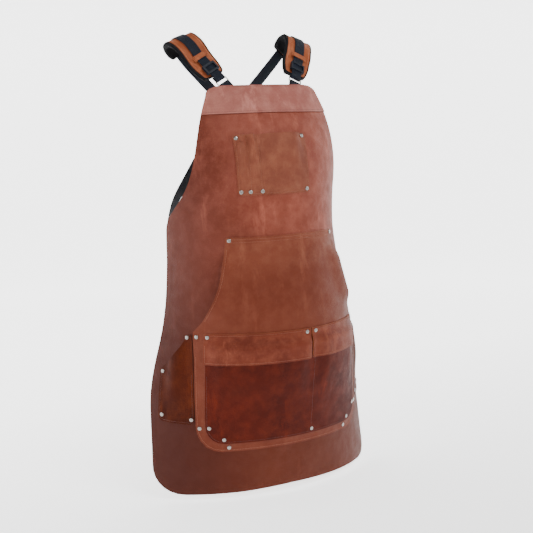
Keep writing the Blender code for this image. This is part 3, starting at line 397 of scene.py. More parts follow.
def metal_mat(name, tone, rough):
    k = Nodes(name)
    v = k.coords()
    n = k.noise(v, 130.0, 5.0, 0.7)
    k.put(k.b.inputs["Base Color"], k.mix(k.span(n, 0.35, 0.75), tone, tuple(c * 0.78 for c in tone)))
    k.b.inputs["Metallic"].default_value = 1.0
    k.put(k.b.inputs["Roughness"], k.span(n, 0.3, 0.8, rough, rough + 0.18))
    k.put(k.b.inputs["Normal"], k.bump(k.noise(v, 700.0, 2.0), 0.00006, 0.5))
    return k.m


def plastic_mat(name, tone):
    k = Nodes(name)
    v = k.coords()
    n = k.noise(v, 300.0, 4.0, 0.6)
    k.put(k.b.inputs["Base Color"], k.mix(k.span(n, 0.3, 0.8), tone, tuple(c * 1.5 for c in tone)))
    k.put(k.b.inputs["Roughness"], k.span(n, 0.3, 0.8, 0.40, 0.54))
    k.b.inputs["Specular IOR Level"].default_value = 0.22
    k.put(k.b.inputs["Normal"], k.bump(k.noise(v, 1400.0, 2.0), 0.00005, 0.6))
    return k.m


def knit_mat(name, tone):
    k = Nodes(name)
    v = k.coords()
    cell = k.voronoi(v, 900.0)
    n = k.noise(v, 30.0, 4.0)
    k.put(k.b.inputs["Base Color"], k.mix(k.span(cell, 0.1, 0.6), tuple(c * 1.9 for c in tone), tone))
    k.put(k.b.inputs["Roughness"], k.span(n, 0.3, 0.7, 0.78, 0.92))
    k.b.inputs["Specular IOR Level"].default_value = 0.12
    k.put(k.b.inputs["Normal"], k.bump(cell, 0.0004, 0.9))
    return k.m


def thread_mat(name, tone):
    k = Nodes(name)
    v = k.coords()
    n = k.noise(v, 1500.0, 2.0)
    k.put(k.b.inputs["Base Color"], k.mix(n, tuple(c * 0.7 for c in tone), tone))
    k.b.inputs["Roughness"].default_value = 0.6
    k.put(k.b.inputs["Normal"], k.bump(n, 0.0001, 0.6))
    return k.m


# painted shade: the skirt is darkened towards its left side, which turns away from the key light
PAINTED_SHADE_SIDE = (0, -0.06, -0.235, lin(66, 20, 8), 0.80)      # the turned side of the skirt
FOOT = (2, -0.36, -0.80, lin(86, 34, 14), 0.86)
L_BODY = leather("leather_body_v", lin(134, 70, 56), lin(160, 92, 78), lin(182, 110, 94), lean=(FOOT, PAINTED_SHADE_SIDE),
                 sat=1.10, val=0.56)
L_BAND = leather("leather_band_v", lin(172, 104, 94), lin(192, 124, 112), lin(208, 142, 128), sat=1.06, val=0.53)
L_POCKET = leather("leather_pocket_v", lin(128, 66, 48), lin(158, 90, 68), lin(182, 112, 86),
                   lean=((2, -0.36, -0.52, lin(108, 46, 28), 0.75),), sat=1.05, val=0.55)
L_CHEST = leather("leather_chest_v", lin(138, 74, 56), lin(160, 90, 68), lin(184, 112, 84), sat=1.04, val=0.47)
L_CARGO = leather("leather_cargo_v", lin(84, 30, 22), lin(110, 46, 36), lin(134, 66, 54), sat=1.30, val=0.39, spec=0.10)
L_FLAP = leather("leather_flap_v", lin(112, 52, 40), lin(140, 74, 58), lin(164, 96, 76), sat=1.12, val=0.48)
# the side pockets' lean is painted shade: the left pocket darkens towards its outer edge, on the turned side
L_SIDE = leather("leather_side_v", lin(80, 26, 8), lin(112, 44, 18), lin(140, 64, 30),
                 lean=((0, -0.17, -0.25, lin(56, 16, 4), 0.5),), sat=1.45, val=0.46, spec=0.08)
L_PAD = leather("leather_pad_v", lin(150, 78, 50), lin(182, 102, 68), lin(202, 124, 88), grain=1.25, sat=1.05, val=0.55)
L_SUEDE = leather("leather_back_v", lin(112, 66, 50), lin(134, 84, 64), lin(150, 98, 76), rough=0.82, grain=1.2, sheen=0.2)
# raw edge tone, lightened with a painted highlight along the pocket and flap tops
EDGE_WITH_PAINTED_HIGHLIGHT = raw_edge("raw_edge_painted_highlight", lin(168, 92, 46), lin(104, 50, 24))
# dark cut edge tone, darkened further with painted shade along the outlines
EDGE_WITH_PAINTED_SHADE = raw_edge("raw_edge_painted_shade", lin(84, 36, 22), lin(40, 16, 10))
# black webbing with a blue tint: painted blue reflection
WEBBING = webbing_mat("webbing_v", (0.0012, 0.0019, 0.0042), (0.0060, 0.0095, 0.019))
NICKEL = metal_mat("nickel_v", (0.27, 0.25, 0.23), 0.16)
PLASTIC = plastic_mat("plastic_v", (0.004, 0.006, 0.011))
KNIT = knit_mat("pad_knit_v", (0.003, 0.003, 0.004))
THREAD = thread_mat("thread_v", lin(132, 70, 44))
THREAD_DARK = thread_mat("thread_dark_v", lin(70, 34, 24))
THREAD_PAD = thread_mat("thread_pad_v", lin(190, 112, 76))
THREAD_BLACK = thread_mat("thread_black_v", (0.02, 0.024, 0.034))

M_BODY = lambda: (L_BODY, L_SUEDE, EDGE_WITH_PAINTED_SHADE)
M_BAND = lambda: (L_BAND, L_SUEDE, EDGE_WITH_PAINTED_SHADE)
M_POCKET = lambda: (L_POCKET, L_SUEDE, EDGE_WITH_PAINTED_HIGHLIGHT)
M_CHEST = lambda: (L_CHEST, L_SUEDE, EDGE_WITH_PAINTED_HIGHLIGHT)
M_CARGO = lambda: (L_CARGO, L_SUEDE, EDGE_WITH_PAINTED_SHADE)
M_FLAP = lambda: (L_FLAP, L_SUEDE, EDGE_WITH_PAINTED_HIGHLIGHT)
M_SIDE = lambda: (L_SIDE, L_SUEDE, EDGE_WITH_PAINTED_SHADE)
M_PAD = lambda: (L_PAD, L_PAD, L_PAD)
M_FOAM = lambda: (KNIT,)
M_WEB = lambda: (WEBBING,)
M_STEEL = lambda: (NICKEL,)
M_PLASTIC = lambda: (PLASTIC,)

# ---------------------------------------------------------------- mesh helpers
def make_object(name, verts, faces, mats, smooth=False, face_mats=None, attrs=None, bevel=None, node=None):
    me = bpy.data.meshes.new("v_" + name)
    me.from_pydata([tuple(v) for v in verts], [], faces)
    for key, vals in (attrs or {}).items():
        at = me.attributes.new(key, "FLOAT", "POINT")
        at.data.foreach_set("value", vals)
    if face_mats is not None:
        me.polygons.foreach_set("material_index", face_mats)
    bm = bmesh.new()
    bm.from_mesh(me)
    bmesh.ops.recalc_face_normals(bm, faces=bm.faces)
    bm.to_mesh(me)
    bm.free()
    for mm in (mats if isinstance(mats, tuple) else (mats,)):
        me.materials.append(mm)
    ob = bpy.data.objects.new("v_" + name, me)
    bpy.context.scene.collection.objects.link(ob)
    me.polygons.foreach_set("use_smooth", [True] * len(me.polygons))
    if bevel:
        md = ob.modifiers.new("edge", "BEVEL")
        md.width, md.segments, md.limit_method, md.angle_limit = bevel, 2, "ANGLE", math.radians(50)
        md.harden_normals = True
    else:
        me.set_sharp_from_angle(angle=math.radians(50 if not smooth else 80))
    MADE[name] = ob
    return ob


MADE = {}


def done(name, *nodes, body=None):
    """The fine piece stands for these CAD nodes and moves with their body."""
    ob = MADE[name]
    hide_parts(*nodes)
    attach(ob, body or BODY_OF[nodes[0]])
    return ob


def inside(poly, p):
    x, y = p
    hit = False
    j = len(poly) - 1
    for i in range(len(poly)):
        xi, yi = poly[i]
        xj, yj = poly[j]
        if (yi > y) != (yj > y) and x < (xj - xi) * (y - yi) / (yj - yi) + xi:
            hit = not hit
        j = i
    return hit


def circle(u, z, r, n=8, turn=0.5):
    return [(u + r * math.cos(2 * math.pi * (k + turn) / n),
             z + r * math.sin(2 * math.pi * (k + turn) / n)) for k in range(n)]


SHEAR = 0.13


def triangulate(outline, holes, rings=(), extra_u=()):
    """Pattern piece cut along the shared form lines, so that every layer
    bends at the same lines."""
    pts, edges = [], []

    def loop(ring):
        base = len(pts)
        pts.extend(ring)
        edges.extend((base + i, base + (i + 1) % len(ring)) for i in range(len(ring)))

    loop(outline)
    for h in list(holes) + list(rings):
        loop(h)
    us, zs = [p[0] for p in outline], [p[1] for p in outline]
    u0, u1, z0, z1 = min(us), max(us), min(zs), max(zs)
    k = math.ceil((u0 + 0.004) / U_STEP)
    lines = []
    while k * U_STEP < u1 - 0.004:
        lines.append(((k * U_STEP, z0 - 0.01), (k * U_STEP, z1 + 0.01)))
        k += 1
    for u in extra_u:
        lines.append(((u, z0 - 0.01), (u, z1 + 0.01)))
    for z in Z_LINES:
        if z0 + 0.004 < z < z1 - 0.004:
            lines.append(((u0 - 0.01, z), (u1 + 0.01, z)))
    for a, b in lines:
        base = len(pts)
        pts.extend([a, b])
        edges.append((base, base + 1))
    flat = [Vector((p[0] + SHEAR * p[1], p[1])) for p in pts]
    vs, _e, fs, _a, _b, _c = delaunay_2d_cdt(flat, edges, [], 0, 0.0002)
    vs = [(v.x - SHEAR * v.y, v.y) for v in vs]
    out = []
    for f in fs:
        cx = sum(vs[i][0] for i in f) / 3.0
        cy = sum(vs[i][1] for i in f) / 3.0
        if not inside(outline, (cx, cy)):
            continue
        if any(inside(h, (cx, cy)) for h in holes):
            continue
        out.append(tuple(f))
    used = sorted({i for f in out for i in f})
    new = {o: i for i, o in enumerate(used)}
    return [vs[i] for i in used], [tuple(new[i] for i in f) for f in out]


def wave(u, z):
    """Soft unevenness of hanging leather, under half a millimetre."""
    return 0.00022 * (math.sin(31 * u + 9 * z) * math.sin(23 * z + 7 * u) + 0.6 * math.sin(70 * z + 40 * u))


def panel(name, mats, outline, n_in, lift=None, rivets=(), thick=LEATHER, extra_u=()):
    holes = [circle(u, z, RIVET_HOLE * 0.8, 10) for u, z in rivets]
    rings = [circle(u, z, RIVET_CAP + 0.9 * MM, 12) for u, z in rivets] if lift else ()
    uv, tris = triangulate(outline, holes, rings)
    lift = lift or (lambda u, z: 0.0)
    back, front = [], []
    for u, z in uv:
        p, nn = form_point(u, z) - HOLD, form_normal(u, z)
        h = n_in + lift(u, z) + wave(u, z)
        back.append(p + nn * h)
        front.append(p + nn * (h + thick))
    n = len(uv)
    count, faces, fm = {}, [], []
    for t in tris:
        faces.append(tuple(n + i for i in t))
        fm.append(0)
        faces.append(tuple(reversed(t)))
        fm.append(1)
        for i in range(3):
            a, b = t[i], t[(i + 1) % 3]
            key = (min(a, b), max(a, b))
            count[key] = None if key in count else (a, b)
    for e in count.values():
        if e:
            a, b = e
            faces.append((a, b, n + b, n + a))
            fm.append(2)
    return make_object(name, back + front, faces, mats, face_mats=fm, bevel=0.55 * MM)


def stitches(name, mat, lines, n_of, pitch=3.4 * MM, length=2.5 * MM, r=0.34 * MM):
    """Rows of lock stitches along lines of (u, z) points; n_of(u, z) is the
    height of the leather's face."""
    verts, faces = [], []
    K = 6
    for line in lines:
        L = [0.0]
        for p, q in zip(line, line[1:]):
            L.append(L[-1] + math.hypot(q[0] - p[0], q[1] - p[1]))
        cnt = int(L[-1] / pitch)
        for k in range(cnt):
            ends = []
            for s in ((k + 0.5) * pitch - length / 2, (k + 0.5) * pitch + length / 2):
                i = max(0, min(len(L) - 2, next((j for j in range(1, len(L)) if L[j] >= s), len(L) - 1) - 1))
                f = (s - L[i]) / max(1e-9, L[i + 1] - L[i])
                ends.append((line[i][0] + (line[i + 1][0] - line[i][0]) * f,
                             line[i][1] + (line[i + 1][1] - line[i][1]) * f))
            (ua, za), (ub, zb) = ends
            um, zm = (ua + ub) / 2, (za + zb) / 2
            nn = form_normal(um, zm)
            a = form_point(ua, za) + nn * n_of(ua, za) - HOLD
            b = form_point(ub, zb) + nn * n_of(ub, zb) - HOLD
            t = (b - a).normalized()
            w = t.cross(nn).normalized()
            base = len(verts)
            for c, rr in ((a, 0.45), (a * 0.75 + b * 0.25, 1.0), (a * 0.25 + b * 0.75, 1.0), (b, 0.45)):
                lift_ = nn * (0.10 * MM if rr < 1 else 0.30 * MM)
                for j in range(K):
                    an = 2 * math.pi * j / K
                    verts.append(c + lift_ + w * (math.cos(an) * r * rr) + nn * (math.sin(an) * r * rr * 0.8))
            for q_ in range(3):
                for j in range(K):
                    l = (j + 1) % K
                    faces.append((base + q_ * K + j, base + q_ * K + l, base + (q_ + 1) * K + l, base + (q_ + 1) * K + j))
            faces.append(tuple(base + j for j in reversed(range(K))))
            faces.append(tuple(base + 3 * K + j for j in range(K)))
    return make_object(name, verts, faces, mat, smooth=True)


def thread_rows(name, mat, rows, pitch=3.8 * MM, length=2.8 * MM, r=0.45 * MM):
    verts, faces, K = [], [], 6
    for pts, nrms in rows:
        L = [0.0]
        for p, q in zip(pts, pts[1:]):
            L.append(L[-1] + (q - p).length)

        def at(s):
            i = next((j for j in range(1, len(L)) if L[j] >= s), len(L) - 1) - 1
            f = min(1.0, (s - L[i]) / max(1e-9, L[i + 1] - L[i]))
            return pts[i].lerp(pts[i + 1], f), nrms[i].lerp(nrms[i + 1], f).normalized()
        for k in range(int(L[-1] / pitch)):
            (a, nn), (b, _n) = at((k + 0.5) * pitch - length / 2), at((k + 0.5) * pitch + length / 2)
            t = (b - a).normalized()
            w = t.cross(nn).normalized()
            base = len(verts)
            for c, rr in ((a, 0.45), (a.lerp(b, 0.25), 1.0), (a.lerp(b, 0.75), 1.0), (b, 0.45)):
                for j in range(K):
                    an = 2 * math.pi * j / K
                    verts.append(c + nn * (0.2 * MM) + w * (math.cos(an) * r * rr) + nn * (math.sin(an) * r * rr))
            for g in range(3):
                for j in range(K):
                    l = (j + 1) % K
                    faces.append((base + g * K + j, base + g * K + l, base + (g + 1) * K + l, base + (g + 1) * K + j))
            faces.append(tuple(base + j for j in reversed(range(K))))
            faces.append(tuple(base + 3 * K + j for j in range(K)))
    return make_object(name, verts, faces, mat, smooth=True)


def revolve(name, mat, profile, origin, axis, segs=26, smooth=True):
    """profile: (radius, height) pairs from pole to pole along the axis."""
    q = Vector((0, 0, 1)).rotation_difference(axis)
    profile = [p for p in profile]
    verts, faces, rings = [], [], []
    for r, h in profile:
        if r <= 1e-9:
            verts.append(Vector((0, 0, h)))
            rings.append([len(verts) - 1] * segs)
        else:
            ring = []
            for k in range(segs):
                a = 2 * math.pi * k / segs
                verts.append(Vector((r * math.cos(a), r * math.sin(a), h)))
                ring.append(len(verts) - 1)
            rings.append(ring)
    for a, b in zip(rings, rings[1:]):
        for k in range(segs):
            l = (k + 1) % segs
            f = [a[k], a[l], b[l], b[k]]
            g = [v for i, v in enumerate(f) if v not in f[:i]]
            if len(g) > 2:
                faces.append(tuple(g))
    verts = [q @ v + origin for v in verts]
    return make_object(name, verts, faces, mat, smooth)


def rivet(name, u, z, top):
    """Domed rivet: cap on the outer leather, shank through the layers,
    flat burr on the inside."""
    n0, n1 = -RIVET_CLEAR, top + RIVET_CLEAR
    n1 = top + 0.12 * MM
    dome = [(RIVET_CAP * math.sin(math.radians(a)), n1 + 0.55 * MM + 1.35 * MM * math.cos(math.radians(a)))
            for a in range(0, 91, 10)]
    dome[0] = (0.0, dome[0][1])
    prof = dome + [(RIVET_CAP + 0.15 * MM, n1 + 0.35 * MM), (RIVET_CAP, n1 + 0.05 * MM),
            (RIVET_CAP - 0.3 * MM, n1), (RIVET_SHANK, n1), (RIVET_SHANK, n0),
            (RIVET_BACK, n0), (RIVET_BACK, n0 - 0.7 * MM), (0.0, n0 - 1.0 * MM)]
    return revolve(name, M_STEEL(), prof[::-1], form_point(u, z) - HOLD, form_normal(u, z))


def sweep(name, mat, centres, wides, normals, section, closed=False, smooth=False, cap=True, fine=4):
    """section(i) gives (w, n) pairs of the closed profile at station i.  The
    run is refined with a smooth curve between stations."""
    sec = [list(section(i)) for i in range(len(centres))]
    C, W, N = [Vector(c) for c in centres], [Vector(w) for w in wides], [Vector(n) for n in normals]
    k = len(C)
    if fine > 1:
        c2, w2, n2, s2 = [], [], [], []
        span = range(k) if closed else range(k - 1)
        for i in span:
            j = (i + 1) % k
            h, l = (i - 1, (j + 1) % k) if closed else (max(i - 1, 0), min(j + 1, k - 1))
            seg = (C[j] - C[i]).length
            fn = max(1, min(fine, int(seg / 0.0018)))
            for q_ in range(fn):
                t = q_ / fn
                ta, tb = (C[j] - C[h]), (C[l] - C[i])
                la, lb = (C[i] - C[h]).length + seg, (C[l] - C[j]).length + seg
                ta, tb = ta * (seg / max(la, 1e-9)), tb * (seg / max(lb, 1e-9))
                h00, h10 = 2 * t ** 3 - 3 * t * t + 1, t ** 3 - 2 * t * t + t
                h01, h11 = -2 * t ** 3 + 3 * t * t, t ** 3 - t * t
                c2.append(C[i] * h00 + ta * h10 + C[j] * h01 + tb * h11)
                w2.append((W[i] * (1 - t) + W[j] * t).normalized())
                n2.append((N[i] * (1 - t) + N[j] * t).normalized())
                s2.append([(a[0] * (1 - t) + b[0] * t, a[1] * (1 - t) + b[1] * t) for a, b in zip(sec[i], sec[j])])
        if not closed:
            c2.append(C[-1])
            w2.append(W[-1])
            n2.append(N[-1])
            s2.append(sec[-1])
        C, W, N, sec = c2, w2, n2, s2
    rounded = []
    for s in sec:
        if len(s) == 4:                                  # flat webbing or leather: round its edges
            (x0, y0), (x1, _), (_, y1), _ = s
            e = abs(y1 - y0) / 2
            m = []
            for q_ in range(9):
                x = x0 + e + (x1 - x0 - 2 * e) * q_ / 8
                m.append((x, y0))
            m += [(x1 - e * 0.3, y0 + e * 0.3), (x1, y0 + e), (x1 - e * 0.3, y1 - e * 0.3)]
            for q_ in range(9):
                x = x1 - e - (x1 - x0 - 2 * e) * q_ / 8
                m.append((x, y1))
            m += [(x0 + e * 0.3, y1 - e * 0.3), (x0, y0 + e), (x0 + e * 0.3, y0 + e * 0.3)]
            s = m
        rounded.append(s)
    sec = rounded
    verts, faces, across, along = [], [], [], []
    m = len(sec[0])
    run = 0.0
    for i, (c, w, nn) in enumerate(zip(C, W, N)):
        if i:
            run += (C[i] - C[i - 1]).length
        for a, b in sec[i]:
            verts.append(c + w * a + nn * b)
            across.append(a)
            along.append(run)
    k = len(C)
    for i in range(k if closed else k - 1):
        j = (i + 1) % k
        for a in range(m):
            b = (a + 1) % m
            faces.append((i * m + a, i * m + b, j * m + b, j * m + a))
    if not closed and cap:
        faces.append(tuple(reversed(range(m))))
        faces.append(tuple((k - 1) * m + a for a in range(m)))
    return make_object(name, verts, faces, mat, smooth, attrs={"across": across, "along": along})


def ribbon(name, mat, pts, normals, width, thick, n0=0.0, width_dir=None):
    """Flat webbing: rectangle width x thick, its inner face n0 off the path."""
    cs = [Vector(p) for p in pts]
    ws, ns = [], []
    for i in range(len(cs)):
        t = (cs[min(i + 1, len(cs) - 1)] - cs[max(i - 1, 0)]).normalized()
        nn = Vector(normals[i])
        if width_dir is not None:
            w = Vector(width_dir).normalized()
            nn = w.cross(t).normalized() if w.cross(t).dot(nn) > 0 else t.cross(w).normalized()
        else:
            nn = (nn - t * nn.dot(t)).normalized()
            w = t.cross(nn).normalized()
        ws.append(w)
        ns.append(nn)
    sec = [(-width / 2, n0), (width / 2, n0), (width / 2, n0 + thick), (-width / 2, n0 + thick)]
    return sweep(name, mat, [c - HOLD for c in cs], ws, ns, lambda i: sec)


def smooth_path(keys, step):
    """Catmull-Rom points about step apart through the keys; each key is
    position and normal."""
    P = [Vector(k[0]) for k in keys]
    N = [Vector(k[1]) for k in keys]
    P = [P[0] * 2 - P[1]] + P + [P[-1] * 2 - P[-2]]
    N = [N[0]] + N + [N[-1]]
    pts, nrm = [], []
    for i in range(1, len(P) - 2):
        L = (P[i + 1] - P[i]).length
        k = max(1, int(round(L / step)))
        for j in range(k):
            t = j / k
            pts.append(0.5 * ((2 * P[i]) + (P[i + 1] - P[i - 1]) * t
                              + (2 * P[i - 1] - 5 * P[i] + 4 * P[i + 1] - P[i + 2]) * t * t
                              + (3 * P[i] - P[i - 1] - 3 * P[i + 1] + P[i + 2]) * t ** 3))
            nrm.append((N[i] * (1 - t) + N[i + 1] * t).normalized())
    pts.append(P[-2])
    nrm.append(N[-2].normalized())
    return pts, nrm


def tube_loop(name, mat, corners, r, bend, segs=16, arc=7, smooth=True):
    """Round wire bent to a closed flat frame through the corner points."""
    cs = [Vector(c) for c in corners]
    n = len(cs)
    nrm = (cs[1] - cs[0]).cross(cs[2] - cs[1]).normalized()
    pts = []
    for i in range(n):
        p, a, b = cs[i], cs[i - 1], cs[(i + 1) % n]
        da, db = (a - p).normalized(), (b - p).normalized()
        ang = da.angle(db)
        d = bend / math.tan(ang / 2)
        ctr = p + (da + db).normalized() * (bend / math.sin(ang / 2))
        s, e = p + da * d - ctr, p + db * d - ctr
        for k in range(arc + 1):
            t = k / arc
            v = s * (1 - t) + e * t
            pts.append(ctr + v.normalized() * bend)
    ws, ns = [], []
    for i in range(len(pts)):
        t = (pts[(i + 1) % len(pts)] - pts[i - 1]).normalized()
        ns.append(nrm)
        ws.append(t.cross(nrm).normalized())
    sec = [(r * math.cos(2 * math.pi * k / segs), r * math.sin(2 * math.pi * k / segs))
           for k in range(segs)]
    return sweep(name, mat, [p - HOLD for p in pts], ws, ns, lambda i: sec, closed=True,
                 smooth=smooth)


def carved(name, mat, base, steps, frame_):
    """Moulded and pressed parts keep the CAD node, with rounded edges."""
    ob = frame["nodes"][name]
    ob.data.materials.clear()
    for mm in mat:
        ob.data.materials.append(mm)
    md = ob.modifiers.new("edge", "BEVEL")
    md.width, md.segments, md.limit_method, md.angle_limit = 0.7 * MM, 3, "ANGLE", math.radians(40)
    md.harden_normals = True
    return ob


def place(origin, x_axis, y_axis):
    """Matrix with columns x, y, x cross y at origin."""
    x = Vector(x_axis).normalized()
    y = Vector(y_axis)
    y = (y - x * y.dot(x)).normalized()
    z = x.cross(y)
    m = Matrix((x, y, z)).transposed().to_4x4()
    m.translation = Vector(origin) - HOLD
    return m


def step01(x, a, b):
    t = min(max((x - a) / (b - a), 0.0), 1.0)
    return t * t * (3 - 2 * t)


def arc_corner(c, r, a0, a1, n=5):
    return [(c[0] + r * math.cos(math.radians(a0 + (a1 - a0) * k / n)),
             c[1] + r * math.sin(math.radians(a0 + (a1 - a0) * k / n))) for k in range(n + 1)]


def mirrored(half):
    """Right half from top to bottom, closed with its mirror image."""
    return half + [(-u, z) for u, z in reversed(half) if abs(u) > 1e-6]


# ---------------------------------------------------------------- leather
def apron_half(inset=0.0, low=None):
    pts = [(0.0, 0.0 - inset)]
    for k in range(5):                                   # rounded bib corner
        a = math.radians(90 * k / 4)
        pts.append((TOP_HALF - inset + (EDGE_U[0] - TOP_HALF) * math.sin(a),
                    EDGE_Z[0] * (1 - math.cos(a)) - inset * (1 - math.sin(a))))
    z = EDGE_Z[0]
    while z > EDGE_Z[-1] + 0.001:
        z = max(z - (0.012 if z > -0.30 else 0.030), EDGE_Z[-1])
        if low is not None and z < low + 0.004:
            break
        pts.append((_edge(z) - inset, z))
    if low is not None:
        pts.append((_edge(low) - inset, low))
        pts.append((0.0, low))
        return pts
    for k in range(1, 8):                                # large hem corner
        a = math.radians(90 * k / 7)
        pts.append((HEM_CORNER_U + (EDGE_U[-1] - HEM_CORNER_U) * math.cos(a),
                    EDGE_Z[-1] + (HEM_Z + 0.001 - EDGE_Z[-1]) * math.sin(a)))
    pts.append((0.12, HEM_Z + 0.001))
    pts.append((0.0, HEM_Z + 0.004))
    return pts


R_CHEST = [(-0.1035, -0.1150), (0.0535, -0.1150), (-0.1035, -0.2295), (-0.0835, -0.2295),
           (-0.0575, -0.2295), (0.0535, -0.2295)]
R_HAND_TOP = [(-0.1360, -0.3335), (0.1360, -0.3335)]
R_HAND_CORNER = [(-0.2325, -0.5400), (0.2325, -0.5400)]
R_FLAP = [(-0.2060, -0.5399), (0.0150, -0.5399), (0.0380, -0.5399), (0.2060, -0.5399)]
R_CARGO = [(-0.1975, -0.7420), (-0.1650, -0.7690), (CARGO_DIV_U + 0.002, -0.7690),
           (0.1650, -0.7690), (0.1975, -0.7420)]
R_HAND_LOW = [(-0.2190, -0.7430), (-0.1540, -0.7880), (0.1540, -0.7880), (0.2190, -0.7430)]

all_body = R_CHEST + R_HAND_TOP + R_HAND_CORNER + R_FLAP + R_CARGO + R_HAND_LOW
panel("apron_body", M_BODY(), mirrored(apron_half()), 0.0, rivets=all_body)
panel("bib_top_band", M_BAND(), mirrored(apron_half(0.0006, -BAND_H)), LAYER1)

# chest pocket: two pen channels and one wide pocket, open at the top
u0, u1, z0, z1 = CHEST
chest_outline = [(u0 + 0.003, z1), (u1 - 0.003, z1), (u1, z1 - 0.003), (u1, z0 + 0.006),
                 (u1 - 0.006, z0), (u0 + 0.006, z0), (u0, z0 + 0.006), (u0, z1 - 0.003)]


def chest_lift(u, z):
    a, b = CHEST_DIV
    if u < a:
        c, h, k = (u0 + a) / 2 + 0.0015, (a - u0) / 2 - 0.004, 1.0
    elif u < b:
        c, h, k = (a + b) / 2, (b - a) / 2 - 0.0015, 0.93
    else:
        c, h, k = (b + u1) / 2, (u1 - b) / 2 - 0.004, 0.80
    t = abs(u - c) / h
    if t >= 1:
        return 0.0
    prof = math.cos(t * math.pi / 2) ** 2 if k > 0.9 else step01(1 - t, 0.0, 0.55)
    down = step01(z, z0 + 0.018, z1 - 0.030) if k > 0.9 else step01(z, z0 + 0.02, z1)
    near = min(math.hypot(u - ru, z - rz) for ru, rz in R_CHEST)
    near = step01(near, 0.0065, 0.0150)
    return CHEST_MOUTH * k * prof * down * near


# hand pocket: wide pocket entered from both slanted sides
def hand_half():
    # slanted hand opening: almost upright below the top rivet, then sweeping
    # out to the corner rivet
    p = [(0.0, HAND_TOP_Z), (HAND_TOP_HALF - 0.003, HAND_TOP_Z), (HAND_TOP_HALF, HAND_TOP_Z - 0.003)]
    k = 9
    for i in range(1, k + 1):
        t = i / k
        z = HAND_TOP_Z - 0.003 + (HAND_CORNER[1] + 0.004 - HAND_TOP_Z + 0.003) * t
        p.append((HAND_TOP_HALF + (HAND_CORNER[0] - HAND_TOP_HALF) * (0.36 * t + 0.64 * t ** 3.2), z))
    p.append((HAND_CORNER[0] + 0.0012, HAND_CORNER[1] - 0.004))
    for i in range(1, 4):
        t = i / 4
        p.append((HAND_CORNER[0] + 0.001 + (HAND_LOW[0] - HAND_CORNER[0]) * t,
                  HAND_CORNER[1] + (HAND_LOW[1] - HAND_CORNER[1]) * t))
    r = HAND_LOW[1] - HAND_BOTTOM_Z
    for i in range(0, 6):
        a = math.radians(90 * i / 5)
        p.append((HAND_LOW[0] - 0.060 * (1 - math.cos(a)), HAND_LOW[1] - r * math.sin(a)))
    p.append((0.0, HAND_BOTTOM_Z))
    return p


def hand_side_u(z):
    t = (HAND_TOP_Z - 0.003 - z) / (HAND_TOP_Z - 0.003 - HAND_CORNER[1] - 0.004)
    t = min(max(t, 0.0), 1.0)
    return HAND_TOP_HALF + (HAND_CORNER[0] - HAND_TOP_HALF) * (0.36 * t + 0.64 * t ** 3.2)


def hand_lift(u, z):
    along = step01(z, HAND_CORNER[1] + 0.022, -0.475) * (1 - step01(z, -0.400, HAND_TOP_Z - 0.022))
    d = hand_side_u(z) - abs(u)
    return HAND_MOUTH * along * (1 - step01(d, 0.004, 0.060))


hand_rivets = R_HAND_TOP + R_HAND_CORNER + R_FLAP + R_CARGO + R_HAND_LOW


# cargo pocket: two compartments under the flaps
def cargo_outline():
    half = [(0.0, CARGO_TOP_Z), (CARGO_HALF_TOP - 0.002, CARGO_TOP_Z),
            (CARGO_HALF_TOP, CARGO_TOP_Z - 0.002)]
    for i in range(1, 4):
        t = i / 3
        half.append((CARGO_HALF_TOP + (CARGO_HALF_LOW - CARGO_HALF_TOP) * t,
                     CARGO_TOP_Z + (-0.735 - CARGO_TOP_Z) * t))
    r = -0.735 - CARGO_BOTTOM_Z
    for i in range(1, 6):
        a = math.radians(90 * i / 5)
        half.append((CARGO_HALF_LOW - 0.042 * (1 - math.cos(a)), -0.735 - r * math.sin(a)))
    half.append((0.0, CARGO_BOTTOM_Z))
    return mirrored(half)


def mouth(u, a, b, ramp):
    return step01(u, a, a + ramp) * (1 - step01(u, b - ramp, b))


def cargo_lift(u, z):
    a = mouth(u, -CARGO_HALF_TOP + 0.008, CARGO_DIV_U - 0.007, 0.034)
    b = mouth(u, CARGO_DIV_U + 0.007, CARGO_HALF_TOP - 0.008, 0.034)
    return CARGO_MOUTH * max(a, b) * step01(z, -0.715, -0.620)


def flap_lift(u, z):
    """The flap hangs clear of the cargo pocket's mouth."""
    rise = 1 - step01(z, CARGO_TOP_Z + 0.002, FLAP_FOLD_Z + 0.001)
    a = mouth(u, -CARGO_HALF_TOP + 0.000, CARGO_DIV_U + 0.004, 0.034)
    b = mouth(u, CARGO_DIV_U - 0.004, CARGO_HALF_TOP - 0.000, 0.034)
    m = max(a, b)
    return rise * (LAYER3 - LAYER2 + 0.0004 + (CARGO_MOUTH + 0.0004) * m)


def side_half(sign):
    pts = [(SIDE_U0, SIDE_TIP_Z), (SIDE_U0 + 0.010, SIDE_TIP_Z - 0.001),
           (SIDE_U0 + 0.016, SIDE_TIP_Z - 0.010)]
    for i in range(1, 5):
        t = i / 4
        pts.append((SIDE_U0 + 0.016 + (SIDE_U1 - SIDE_U0 - 0.018) * (0.55 * t + 0.45 * t * t),
                    SIDE_TIP_Z - 0.010 + (SIDE_LOW_TIP_Z - SIDE_TIP_Z + 0.010) * t))
    pts += [(SIDE_U1, SIDE_LOW_TIP_Z - 0.006), (SIDE_U1 - 0.001, -0.665), (SIDE_U1 - 0.004, -0.716)]
    pts += [(SIDE_U1 - 0.006, SIDE_BOTTOM_Z + 0.008), (SIDE_U1 - 0.014, SIDE_BOTTOM_Z + 0.002),
            (SIDE_U1 - 0.040, SIDE_BOTTOM_Z - 0.001), (SIDE_U0 - 0.006, SIDE_BOTTOM_Z - 0.003),
            (SIDE_U0 - 0.0125, SIDE_BOTTOM_Z + 0.004), (SIDE_U0 - 0.0118, -0.700),
            (SIDE_U0 - 0.0060, -0.620)]
    return [(sign * u, z) for u, z in pts]


